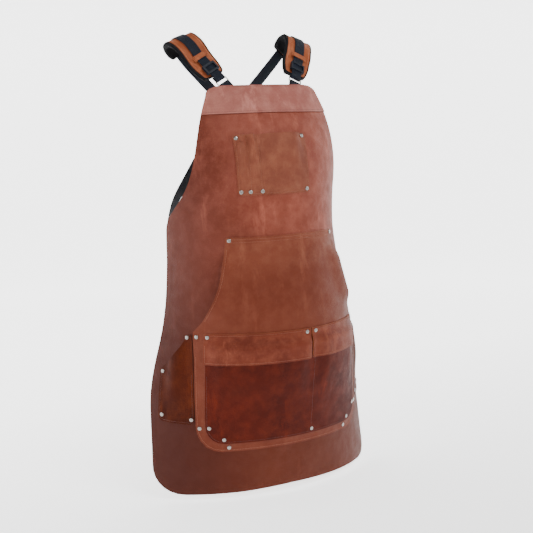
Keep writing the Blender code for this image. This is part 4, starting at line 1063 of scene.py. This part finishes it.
def side_lift(u, z):
    t = (abs(u) - SIDE_U0 - 0.010) / (SIDE_U1 - SIDE_U0 - 0.020)
    if t <= 0 or t >= 1:
        return 0.0
    return SIDE_MOUTH * math.sin(math.pi * t) ** 2 * step01(z, -0.705, -0.625)


chest_folds = ((u0 + CHEST_DIV[0]) / 2 - 0.0022, (u0 + CHEST_DIV[0]) / 2 + 0.0042, sum(CHEST_DIV) / 2)
panel("chest_pocket", M_CHEST(), chest_outline, LAYER1, chest_lift, R_CHEST, extra_u=chest_folds)
panel("hand_pocket", M_POCKET(), mirrored(hand_half()), LAYER1, hand_lift, hand_rivets)
panel("cargo_pocket", M_CARGO(), cargo_outline(), LAYER2, cargo_lift, R_CARGO)
for side, (fa, fb), rv in (("left", FLAP_L, R_FLAP[:2]), ("right", FLAP_R, R_FLAP[2:])):
    fl = [(fa + 0.002, FLAP_LOW_Z), (fb - 0.002, FLAP_LOW_Z), (fb, FLAP_LOW_Z + 0.003),
          (fb, FLAP_TOP_Z), (fa, FLAP_TOP_Z), (fa, FLAP_LOW_Z + 0.003)]
    panel("flap_piece_" + side, M_FLAP(), fl, LAYER2, flap_lift, rv)
for side, s in (("left", -1), ("right", 1)):
    panel("side_pocket_" + side, M_SIDE(), side_half(s), LAYER1, side_lift)

k = 0
for group, top, tag in ((R_CHEST, LAYER1 + LEATHER, "chest"), (R_HAND_TOP, LAYER1 + LEATHER, "hand_top"),
                        (R_HAND_CORNER, LAYER1 + LEATHER, "hand_corner"),
                        (R_FLAP, LAYER2 + LEATHER, "flap"), (R_CARGO, LAYER2 + LEATHER, "cargo"),
                        (R_HAND_LOW, LAYER1 + LEATHER, "hand_low")):
    for i, (u, z) in enumerate(group):
        rivet("rivet_%s_%d" % (tag, i + 1), u, z, top)


# ---------------------------------------------------------------- harness
RING_R, RING_IN_W = 1.3 * MM, 27.0 * MM
LOOP_R = RING_R + 1.25 * MM              # inside of a webbing loop round a ring bar

RING_LOW = Vector((0.0905, 0.1275, 0.0060))        # ring's lower bar centre
WEB_DIR = Vector((0.0270, 0.0300, 0.0430)).normalized()   # front webbing, ring to pad
WEB_WIDE = Vector((0.92, -0.10, -0.34))
RING_H = 14.5 * MM
STRAIGHT = 63.0 * MM
JOIN = 72.0 * MM                          # where the back strap takes over, under the keeper
SLIDE_AT = 32.0 * MM


def flip(v, s):
    return Vector((v[0] * s, v[1], v[2]))


def harness_frame(s):
    t = flip(WEB_DIR, s)
    w = flip(WEB_WIDE, s)
    w = (w - t * w.dot(t)).normalized()
    n = w.cross(t) if s > 0 else t.cross(w)
    if n.y > 0:
        n = -n
    return t, w, n


def fold_path(bar, t, n, r_mid, length_a, length_b, off=0.0, steps=6):
    """Centreline of webbing that comes down along -t on the outer side of the
    bar, turns round it and goes back up on the inner side."""
    pts, nrm = [], []
    ka = max(1, int(length_a / (9 * MM)))
    for k in range(ka):
        pts.append(bar + n * r_mid + t * (length_a * (1 - k / float(ka))))
        nrm.append(n)
    for k in range(steps + 1):
        a = math.pi * k / steps
        d = n * math.cos(a) - t * math.sin(a)
        pts.append(bar + d * r_mid)
        nrm.append(d)
    kb = max(1, int(length_b / (9 * MM)))
    for k in range(1, kb + 1):
        pts.append(bar - n * r_mid + t * (length_b * k / float(kb)))
        nrm.append(-n)
    return pts, nrm


def ribbon_w(name, mat, pts, nrm, w, width, thick, n0):
    """Webbing with one fixed width direction."""
    sec = [(-width / 2, n0), (width / 2, n0), (width / 2, n0 + thick), (-width / 2, n0 + thick)]
    return sweep(name, mat, [p - HOLD for p in pts], [w] * len(pts), nrm, lambda i: sec)


PAD_KEYS = [  # path of the strap over the shoulder, with its outward normal
    ((0.1285, 0.1690, 0.0720), (0.13, -0.85, 0.51)),
    ((0.1405, 0.1800, 0.0920), (0.20, -0.72, 0.66)),
    ((0.1495, 0.1965, 0.1080), (0.30, -0.42, 0.86)),
    ((0.1530, 0.2190, 0.1150), (0.34, 0.02, 0.94)),
    ((0.1510, 0.2390, 0.1100), (0.30, 0.48, 0.82)),
    ((0.1400, 0.2520, 0.0930), (0.22, 0.82, 0.52)),
    ((0.1160, 0.2580, 0.0640), (0.10, 0.98, 0.15)),
    ((0.0800, 0.2585, 0.0270), (0.0, 1.0, 0.0)),
    ((0.0380, 0.2585, -0.0150), (0.0, 1.0, 0.0)),
    ((0.0, 0.2585, -0.0530), (0.0, 1.0, 0.0)),
    ((-0.0380, 0.2585, -0.0910), (0.0, 1.0, 0.0)),
    ((-0.0820, 0.2560, -0.1380), (-0.10, 0.99, 0.0)),
    ((-0.1290, 0.2480, -0.1980), (-0.32, 0.95, 0.0)),
    ((-0.1690, 0.2420, -0.2520), (-0.60, 0.80, 0.0)),
    ((-0.1895, 0.2350, -0.2960), (-0.77, 0.64, 0.0)),
]
WRING_DIR = Vector((-0.60, 0.80, 0.0))             # waist ring plane, front to rear
WRING_C = Vector((0.1888, 0.2352, -0.3400))        # waist ring centre
WRING_IN = 34.0 * MM

for side, s in (("left", -1), ("right", 1)):
    t, w, n = harness_frame(s)
    low = flip(RING_LOW, s)
    high = low + t * RING_H
    # ring
    half = RING_IN_W / 2 + RING_R
    ring = tube_loop("ring_" + side, M_STEEL(),
                     [low - w * half, low + w * half, high + w * half, high - w * half],
                     RING_R, 3.0 * MM)
    # front webbing: sewn loop round the ring's upper bar, then straight to the pad
    r_mid = LOOP_R
    pts, nrm = fold_path(high, t, n, r_mid, STRAIGHT, 12.0 * MM)
    ribbon_w("strap_web_" + side, M_WEB(), pts, nrm, w, WEB, WEB_T, 0.0)
    # tab: webbing loop round the lower bar, tails behind the bib's top edge
    bu = s * 0.0705
    base = form_point(bu, -0.036) - form_normal(bu, -0.036) * 3.6 * MM
    ang = form_angle(bu, -0.036)
    flat_w = Vector((math.cos(ang), math.sin(ang), 0.0))
    if flat_w.dot(w) < 0:
        flat_w = -flat_w
    rise = low - base
    rise = (rise - w * rise.dot(w)).normalized()
    tn = w.cross(rise)
    if tn.y > 0:
        tn = -tn
    pts, nrm = fold_path(low, -rise, tn, LOOP_R, 40.0 * MM, 38.0 * MM, steps=6)
    out_p, out_w, out_n = [], [], []
    full = (low - base).length
    for p, d in zip(pts, nrm):
        dist = max(0.0, (low - p).dot(rise))
        k = step01(dist, 5 * MM, 26 * MM)
        on_line = low + (base - low) * (dist / full)
        straight = low - rise * dist
        c = straight + (on_line - straight) * step01(dist, 3 * MM, 40 * MM)
        sgn = 1.0 if (p - low).dot(tn) > 0 else -1.0
        ww = (w * (1 - k) + flat_w * k).normalized()
        if dist > 1e-6:
            line = (low - c).normalized() if dist > 5 * MM else rise
            ww = (ww - line * ww.dot(line)).normalized()
            m = ww.cross(line).normalized()
            if m.y > 0:
                m = -m
            off = LOOP_R * (1 - k) + 0.35 * MM * k
            out_p.append(c + m * sgn * off)
            out_n.append(m * sgn)
        else:
            out_p.append(p)
            out_n.append(d)
        out_w.append(ww)
    web_sec = [(-WEB / 2, 0.0), (WEB / 2, 0.0), (WEB / 2, WEB_T), (-WEB / 2, WEB_T)]
    sweep("strap_tab_" + side, M_WEB(), [p - HOLD for p in out_p], out_w, out_n, lambda i: web_sec)
    # slide adjuster: outer bars over the webbing, centre bar under it
    at = high + n * r_mid + t * SLIDE_AT
    fr = place(at, w * (1 if s > 0 else -1), t)
    zdir = fr.to_3x3() @ Vector((0, 0, 1))
    up = 1 if zdir.dot(n) > 0 else -1
    def zz(a, b):
        return (a, b) if up > 0 else (-b, -a)
    z_all, z_web, z_top, z_bot = zz(-2.9, 4.3), zz(-0.5, 2.2), zz(-0.5, 5.0), zz(-3.5, 2.2)
    carved("slider_" + side, M_PLASTIC(),
           ((-16.6, -11, z_all[0]), (16.6, 11, z_all[1])),
           [("cut", (-13.2, -12, z_web[0]), (13.2, 12, z_web[1])),
            ("cut", (-13.2, -6.8, z_top[0]), (13.2, 6.8, z_top[1])),
            ("cut", (-13.2, -12, z_bot[0]), (13.2, -2.2, z_bot[1])),
            ("cut", (-13.2, 2.2, z_bot[0]), (13.2, 12, z_bot[1]))], fr)


# shoulder strap over the pad, crossing the back to the opposite waist ring
def pad_profile(i, count, n_low):
    """Pad outline: rounded ends."""
    e = min(i, count - 1 - i)
    return min(1.0, math.sqrt(max(0.0, 1 - (1 - (e + 0.35) / 3.4) ** 2)) if e < 3 else 1.0)


for side, s in (("left", -1), ("right", 1)):
    t, w, n = harness_frame(s)
    web_line = flip(RING_LOW, s) + t * RING_H + n * LOOP_R      # inner face of the front webbing
    keys = [(web_line + t * JOIN - n * 0.3 * MM, n)] + [(flip(p, s), flip(nn, s)) for p, nn in PAD_KEYS[1:]]
    # the straps pass each other at the crossing: one lies outside the other
    shift = 2.1 * MM if s > 0 else 0.0
    pts, nrm = smooth_path(keys, 0.014)
    moved = []
    for p, d in zip(pts, nrm):
        k = step01(0.060 - abs(p.x), 0.0, 0.030) if p.z < 0.02 else 0.0
        moved.append(p + Vector((0, 1, 0)) * shift * k)
    pts = moved
    wc = WRING_C.copy()
    ctr = flip((-wc.x, wc.y, wc.z), s)
    rd = flip((-WRING_DIR.x, WRING_DIR.y, 0.0), s)             # along the ring, front to rear
    rn = Vector((rd.y, -rd.x, 0.0))
    if rn.x * ctr.x < 0:
        rn = -rn
    top_bar = ctr + Vector((0, 0, WRING_IN / 2 + RING_R))
    lp, ln = fold_path(top_bar, Vector((0, 0, 1)), rn, LOOP_R, 14 * MM, 13 * MM)
    path = pts + lp
    nn2 = nrm + ln
    # width direction: square to the path, blending to the ring's bar
    wides, norms = [], []
    for i, p in enumerate(path):
        tt = (path[min(i + 1, len(path) - 1)] - path[max(i - 1, 0)]).normalized()
        if i >= len(pts):
            wides.append(rd * (1 if s > 0 else 1))
            norms.append(nn2[i])
            continue
        m = (nn2[i] - tt * nn2[i].dot(tt)).normalized()
        ww = tt.cross(m).normalized()
        if wides and ww.dot(wides[-1]) < 0:
            ww = -ww
        wides.append(ww)
        norms.append(m)
    if wides[len(pts) - 1].dot(rd) < 0:
        for i in range(len(pts), len(path)):
            wides[i] = -rd
    sec = [(-WEB / 2, 0.3 * MM), (WEB / 2, 0.3 * MM), (WEB / 2, 0.3 * MM + WEB_T), (-WEB / 2, 0.3 * MM + WEB_T)]
    sec_fold = [(-WEB / 2, 0.0), (WEB / 2, 0.0), (WEB / 2, WEB_T), (-WEB / 2, WEB_T)]
    sweep("back_strap_" + side, M_WEB(), [p - HOLD for p in path], wides, norms,
          lambda i, n_=len(pts): sec if i < n_ else sec_fold)

    # pad: follows the strap, and drops away from it at its lower end
    pad_n = next(i for i, p in enumerate(pts) if p.y > 0.24 and p.z < 0.080)
    lowk = [(web_line + t * d * MM - n * g * MM, n) for d, g in ((17, 5.6), (30, 4.8), (44, 4.2), (57, 3.6))]
    lowp = [(q, m) for q, m in lowk]
    pp = [q for q, m in lowp] + list(pts[:pad_n])
    pn = [m for q, m in lowp] + list(nrm[:pad_n])
    ws = [None] * len(lowp) + wides[:pad_n]
    ns = [None] * len(lowp) + norms[:pad_n]
    for i in range(len(lowp)):
        ws[i] = wides[0]
        ns[i] = (n - t * 0).normalized()
    cnt = len(pp)

    def foam(i):
        f = pad_profile(i, cnt, 0)
        h, b = PAD_W / 2 * (0.55 + 0.45 * f), PAD_T
        top = -PAD_SHELL_T - 2.0 * MM
        return [(-h, top - b * 0.5), (-h + 1.5 * MM, top - 1.2 * MM), (-h + 4 * MM, top), (h - 4 * MM, top),
                (h - 1.5 * MM, top - 1.2 * MM), (h, top - b * 0.5), (h - 3 * MM, top - b), (-h + 3 * MM, top - b)]

    def shell(i):
        f = pad_profile(i, cnt - 0, 0)
        h = PAD_W / 2 * (0.55 + 0.45 * f) - 3.5 * MM
        return [(-h, -PAD_SHELL_T - 1.1 * MM), (h, -PAD_SHELL_T - 1.1 * MM), (h, -1.1 * MM), (-h, -1.1 * MM)]

    sweep("pad_foam_" + side, M_FOAM(), [p - HOLD for p in pp], ws, ns, foam)
    sweep("pad_shell_" + side, M_PAD(), [p - HOLD for p in pp[:]], ws, ns, shell)
    def rim(i, sgn, d, up):
        f_ = pad_profile(i, cnt, 0)
        h_ = PAD_W / 2 * (0.55 + 0.45 * f_) - 3.5 * MM - d
        return pp[i] - HOLD + ws[i] * (sgn * h_) + ns[i] * up
    lo_, hi_ = 0, cnt - 1
    loop_p = [rim(i, 1, 0.0, -2.0 * MM) for i in range(cnt)] + [rim(i, -1, 0.0, -2.0 * MM) for i in reversed(range(cnt))]
    loop_n = [ns[i] for i in range(cnt)] + [ns[i] for i in reversed(range(cnt))]
    loop_w = []
    for i in range(len(loop_p)):
        t_ = (loop_p[(i + 1) % len(loop_p)] - loop_p[i - 1]).normalized()
        loop_w.append(t_.cross(loop_n[i]).normalized())
    bead = [(1.9 * MM * math.cos(2 * math.pi * j / 12), 1.7 * MM * math.sin(2 * math.pi * j / 12)) for j in range(12)]
    sweep("pad_binding_" + side, (KNIT,), loop_p, loop_w, loop_n, lambda i: bead, closed=True, smooth=True)
    rows = []
    for d_ in (5.0 * MM,):
        for sgn in (1, -1):
            rows.append(([rim(i, sgn, d_, -1.0 * MM) for i in range(1, cnt - 1)], [ns[i] for i in range(1, cnt - 1)]))
    thread_rows("pad_stitch_" + side, THREAD_PAD, rows)
    # keeper: leather bridge over the strap on the pad
    kc = web_line + t * (JOIN + STRAIGHT) / 2
    kt, kn, kw = t, n, w
    T_ = WEB / 2
    arch = [(-T_ - 6 * MM, 0.0), (-T_ - 1.4 * MM, 0.0), (-T_ - 0.8 * MM, 2.5 * MM), (T_ + 0.8 * MM, 2.5 * MM),
            (T_ + 1.4 * MM, 0.0), (T_ + 6 * MM, 0.0), (T_ + 6 * MM, 1.3 * MM), (T_ + 2.2 * MM, 1.6 * MM),
            (T_ + 1.2 * MM, 4.0 * MM), (-T_ - 1.2 * MM, 4.0 * MM), (-T_ - 2.2 * MM, 1.6 * MM), (-T_ - 6 * MM, 1.3 * MM)]
    sweep("pad_keeper_" + side, M_PAD(), [kc + kt * d - HOLD for d in (-6 * MM, 6 * MM)], [kw, kw], [kn, kn],
          lambda i: arch)

    # waist ring, its tab on the side edge, and the waist strap
    hh = WRING_IN / 2 + RING_R
    zv = Vector((0, 0, 1))
    far, q = ("right", 1) if side == "left" else ("left", -1)
    tube_loop("waist_ring_" + far, M_STEEL(),
              [ctr - rd * hh - zv * hh, ctr + rd * hh - zv * hh, ctr + rd * hh + zv * hh, ctr - rd * hh + zv * hh],
              RING_R, 3.0 * MM)
    front_bar = ctr - rd * hh
    lp, ln = fold_path(front_bar, -rd, rn, LOOP_R, 6.0 * MM, 6.0 * MM)
    su = [0.300, 0.289, 0.278, 0.266]
    inn = [form_point(q * u, ctr.z) - form_normal(q * u, ctr.z) * 1.0 * MM for u in su]
    inn2 = [form_point(q * u, ctr.z) - form_normal(q * u, ctr.z) * (1.6 * MM + WEB_T) for u in su]
    nn_ = [form_normal(q * u, ctr.z) for u in su]
    path = [p - m * WEB_T for p, m in zip(inn[::-1], nn_[::-1])]
    norm = list(nn_[::-1])
    path += lp
    norm += ln
    path += [p for p in inn2]
    norm += [-m for m in nn_]
    sweep("waist_tab_" + far, M_WEB(), [p - HOLD for p in path], [zv] * len(path), norm,
          lambda i: [(-12 * MM, 0.0), (12 * MM, 0.0), (12 * MM, WEB_T), (-12 * MM, WEB_T)])
    rear_bar = ctr + rd * hh
    lp, ln = fold_path(rear_bar, rd, rn, LOOP_R, 16.0 * MM, 13.0 * MM)
    start = lp[0]
    end_x = q * 0.0225
    y_back = 0.2850
    bk = [(Vector((end_x, y_back, ctr.z)), Vector((0, 1, 0))), (Vector((q * 0.070, y_back, ctr.z)), Vector((0, 1, 0))),
          (Vector((q * 0.110, y_back - 0.004, ctr.z)), Vector((q * 0.2, 1, 0)).normalized()),
          (Vector((q * 0.140, y_back - 0.016, ctr.z)), Vector((q * 0.45, 0.9, 0)).normalized()),
          (start + rd * 2 * MM, rn)]
    bp, bn_ = smooth_path(bk, 0.016)
    bp, bn_ = bp + lp[1:], bn_ + ln[1:]
    sweep("waist_strap_" + far, M_WEB(), [p - HOLD for p in bp], [zv] * len(bp), bn_,
          lambda i: [(-12 * MM, 0.0), (12 * MM, 0.0), (12 * MM, WEB_T), (-12 * MM, WEB_T)])

# crossing patches
cross = Vector((0.0, 0.2585, -0.0530))
for name, y0, y1 in (("cross_patch_inner", -2.3 * MM, -0.3 * MM), ("cross_patch_outer", 4.4 * MM, 6.4 * MM)):
    ring0 = []
    R_ = 34 * MM
    corner = [(R_ * math.cos(math.radians(45 * k + 22.5)), R_ * math.sin(math.radians(45 * k + 22.5))) for k in range(8)]
    vs = [Vector((x, cross.y + y0, cross.z + z)) - HOLD for x, z in corner] + \
         [Vector((x, cross.y + y1, cross.z + z)) - HOLD for x, z in corner]
    fs = [tuple(range(8)), tuple(range(15, 7, -1))] + [(i, (i + 1) % 8, 8 + (i + 1) % 8, 8 + i) for i in range(8)]
    make_object(name, vs, fs, M_PAD())

# side-release buckle at the back of the waist
BY = 0.2850 + WEB_T / 2
bz = WRING_C.z
fr = place(Vector((0.0, BY, bz)), (1, 0, 0), (0, 0, 1))          # local z = -Y world
carved("buckle_female", M_PLASTIC(), ((-38, -16.5, -5.2), (0, 16.5, 5.2)),
       [("cut", (-16, -13.4, -3.0), (1, 13.4, 3.0)),
        ("cut", (-39, -12.8, -1.3), (-19.5, 12.8, 1.3)),
        ("cut", (-34, -12.8, -6), (-24, 12.8, 0)),
        ("cut", (-39, -12.8, 0), (-35.5, 12.8, 6)),
        ("cut", (-22.5, -12.8, 0), (-19.5, 12.8, 6))], fr)
carved("buckle_male", M_PLASTIC(), ((0.5, -16.5, -5.2), (36, 16.5, 5.2)),
       [("cut", (2.5, -12.8, -1.3), (37, 12.8, 1.3)),
        ("cut", (23, -12.8, -6), (33, 12.8, 0)),
        ("cut", (19.5, -12.8, 0), (21.5, 12.8, 6)),
        ("cut", (34.5, -12.8, 0), (37, 12.8, 6)),
        ("add", (-13, -10.5, -2.4), (2, -6.5, 2.4)),
        ("add", (-13, 6.5, -2.4), (2, 10.5, 2.4)),
        ("add", (-14, -2.0, -1.6), (2, 2.0, 1.6))], fr)

# ---------------------------------------------------------------- pieces to bodies
for base in ("apron_body", "bib_top_band", "chest_pocket", "hand_pocket", "cargo_pocket",
             "side_pocket_left", "side_pocket_right", "cross_patch_inner", "cross_patch_outer"):
    done(base, base)
for base in list(MADE):
    if base.startswith("rivet_") or base.startswith(("ring_", "strap_web_", "strap_tab_", "back_strap_", "pad_shell_",
                                                    "pad_foam_", "pad_keeper_", "waist_ring_", "waist_tab_",
                                                    "waist_strap_")):
        done(base, base)
for side, (fa, fb) in (("left", FLAP_L), ("right", FLAP_R)):
    ob = MADE["flap_piece_" + side]
    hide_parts("flap_band_" + side, "flap_" + side)
    um = (fa + fb) / 2
    mid = on_form(um, FLAP_FOLD_Z - FOLD_GAP / 2, LAYER2 + LEATHER)
    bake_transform(ob)


# ---------------------------------------------------------------- stitching
def height(n_in, lift=None):
    lift = lift or (lambda u, z: 0.0)
    return lambda u, z: n_in + lift(u, z) + wave(u, z) + LEATHER


def line(*pts, step=0.004):
    out = [pts[0]]
    for p, q in zip(pts, pts[1:]):
        d = math.hypot(q[0] - p[0], q[1] - p[1])
        k_ = max(1, int(d / step))
        out += [(p[0] + (q[0] - p[0]) * i / k_, p[1] + (q[1] - p[1]) * i / k_) for i in range(1, k_ + 1)]
    return out


def inset(pts, d):
    """Line moved d towards its left side."""
    out = []
    for i, p in enumerate(pts):
        a, b = pts[max(i - 1, 0)], pts[min(i + 1, len(pts) - 1)]
        tx, tz = b[0] - a[0], b[1] - a[1]
        L = math.hypot(tx, tz) or 1.0
        out.append((p[0] - tz / L * d, p[1] + tx / L * d))
    return out


def stitch_group(name, mat, lines, n_of, body="apron"):
    ob = stitches(name, mat, lines, n_of)
    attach(ob, body)
    return ob


e_low = _edge(-BAND_H) - 0.006
stitch_group("stitch_band", THREAD_DARK,
             [line((-e_low, -BAND_H + 0.0040), (e_low, -BAND_H + 0.0040)),
              line((-TOP_HALF + 0.006, -0.0042), (TOP_HALF - 0.006, -0.0042))], height(LAYER1))
u0, u1, z0, z1 = CHEST
ca, cb = CHEST_DIV
stitch_group("stitch_chest", THREAD,
             [line((u0 + 0.0034, z1 - 0.006), (u0 + 0.0034, z0 + 0.007), (u0 + 0.007, z0 + 0.0034),
                   (u1 - 0.007, z0 + 0.0034), (u1 - 0.0034, z0 + 0.007), (u1 - 0.0034, z1 - 0.006)),
              line((ca, z1 - 0.006), (ca, z0 + 0.006)), line((cb, z1 - 0.006), (cb, z0 + 0.006))],
             height(LAYER1, chest_lift))
stitch_group("stitch_hand", THREAD,
             [line((-HAND_TOP_HALF + 0.008, HAND_TOP_Z - 0.0045), (HAND_TOP_HALF - 0.008, HAND_TOP_Z - 0.0045)),
              line((-HAND_TOP_HALF + 0.008, HAND_TOP_Z - 0.0110), (HAND_TOP_HALF - 0.008, HAND_TOP_Z - 0.0110))],
             height(LAYER1, hand_lift))
low = [p for p in hand_half() if p[1] < HAND_CORNER[1] - 0.006]
low = [(-u, z) for u, z in low][:-1][::1] + [(u, z) for u, z in reversed(low)]
stitch_group("stitch_hand_low", THREAD, [line(*inset(low, 0.0042))], height(LAYER1, hand_lift))
edge = [p for p in hand_half() if HAND_CORNER[1] + 0.006 < p[1] < HAND_TOP_Z - 0.004]
stitch_group("stitch_hand_mouth", THREAD,
             [line(*[(u - 0.0050, z) for u, z in edge]), line(*[(-u + 0.0050, z) for u, z in edge])],
             height(LAYER1, hand_lift))
co = cargo_outline()
rights = [p for p in co if p[0] > 0 and p[1] < CARGO_TOP_Z - 0.004]
path_c = rights + [(-u, z) for u, z in reversed(rights)]
stitch_group("stitch_cargo", THREAD_DARK,
             [line(*inset(path_c, -0.0040)), line((CARGO_DIV_U, CARGO_TOP_Z - 0.006), (CARGO_DIV_U, CARGO_BOTTOM_Z + 0.006))],
             height(LAYER2, cargo_lift))
for side, (fa, fb), q in (("left", FLAP_L, -1), ("right", FLAP_R, 1)):
    stitch_group("stitch_flap_band_" + side, THREAD,
                 [line((fa + 0.003, FLAP_TOP_Z - 0.0034), (fb - 0.003, FLAP_TOP_Z - 0.0034))], height(LAYER2))
    stitch_group("stitch_flap_edge_" + side, THREAD,
                 [line((fa + 0.0040, FLAP_FOLD_Z - 0.010), (fa + 0.0040, FLAP_LOW_Z + 0.004),
                       (fb - 0.0040, FLAP_LOW_Z + 0.004), (fb - 0.0040, FLAP_FOLD_Z - 0.010))],
                 height(LAYER2, flap_lift), body="flap_%s_body" % side)
    sp = [p for p in side_half(1)]
    stitch_group("stitch_side_" + side, THREAD_DARK,
                 [line(*[(q * u, z) for u, z in inset(sp[7:], -0.0040)])], height(LAYER1, side_lift))

# rivets that hold the side pockets
for side, q in (("left", -1), ("right", 1)):
    for i, (u, z) in enumerate(((0.256, -0.542), (0.317, -0.620), (0.310, -0.716), (0.238, -0.724))):
        rivet("side_rivet_%s_%d" % (side, i + 1), q * u, z, LAYER1 + LEATHER)
        ob = MADE["side_rivet_%s_%d" % (side, i + 1)]
        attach(ob, "apron")

# ---------------------------------------------------------------- outline sizes (worked out, not used)
def declare(outline):
    us_, zs_ = [p[0] for p in outline], [p[1] for p in outline]
    w_, l_ = max(us_) - min(us_), max(zs_) - min(zs_)


declare(mirrored(apron_half()))
declare(mirrored(apron_half(0.0006, -BAND_H)))
declare(chest_outline)
declare(mirrored(hand_half()))
declare(cargo_outline())
for side, s in (("left", -1), ("right", 1)):
    declare(side_half(s))
    fa, fb = FLAP_L if side == "left" else FLAP_R
    declare([(fa, FLAP_LOW_Z), (fb, FLAP_LOW_Z), (fb, FLAP_TOP_Z), (fa, FLAP_TOP_Z)])

for side in ("left", "right"):
    for n in ("pad_binding_", "pad_stitch_"):
        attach(MADE[n + side], "apron")

# ---------------------------------------------------------------- pale floor and backdrop
def studio_floor():
    """Round pale floor that curves up to a plain backdrop on every side."""
    prof = [(0.0, 0.0), (0.8, 0.0), (1.8, 0.0), (3.4, 0.0)]
    for i in range(1, 13):
        a = math.radians(90 * i / 12)
        prof.append((3.4 + 1.4 * math.sin(a), 1.4 * (1 - math.cos(a))))
    prof.append((4.8, 3.6))
    zf = CAD_BOX[0][2] - 0.012
    segs = 96
    vs, fs = [Vector((0, 0, zf))], []
    for r_, h_ in prof[1:]:
        for j in range(segs):
            a = 2 * math.pi * j / segs
            vs.append(Vector((r_ * math.cos(a), r_ * math.sin(a), zf + h_)))
    for j in range(segs):
        fs.append((0, 1 + j, 1 + (j + 1) % segs))
    for i in range(len(prof) - 2):
        for j in range(segs):
            l = (j + 1) % segs
            fs.append((1 + i * segs + j, 1 + (i + 1) * segs + j, 1 + (i + 1) * segs + l, 1 + i * segs + l))
    me = bpy.data.meshes.new("floor")
    me.from_pydata(vs, [], fs)
    me.polygons.foreach_set("use_smooth", [True] * len(fs))
    k_ = Nodes("floor_painted_glow")
    nz = k_.noise(k_.coords(), 3.0, 2.0)
    k_.put(k_.b.inputs["Base Color"], k_.mix(nz, (0.83, 0.83, 0.83), (0.80, 0.80, 0.80)))
    sep = k_.new("ShaderNodeSeparateXYZ")
    k_.put(sep.inputs[0], k_.coords())
    # painted glow: the floor and backdrop emit light, from dim at the front to bright at the back
    k_.put(k_.b.inputs["Emission Color"], (1.0, 1.0, 1.0))
    k_.put(k_.b.inputs["Emission Strength"], k_.span(sep.outputs[1], -2.2, 0.9, 0.10, 2.3))
    k_.b.inputs["Roughness"].default_value = 0.85
    me.materials.append(k_.m)
    ob = bpy.data.objects.new("floor", me)
    bpy.context.scene.collection.objects.link(ob)


studio_floor()
bpy.context.view_layer.update()
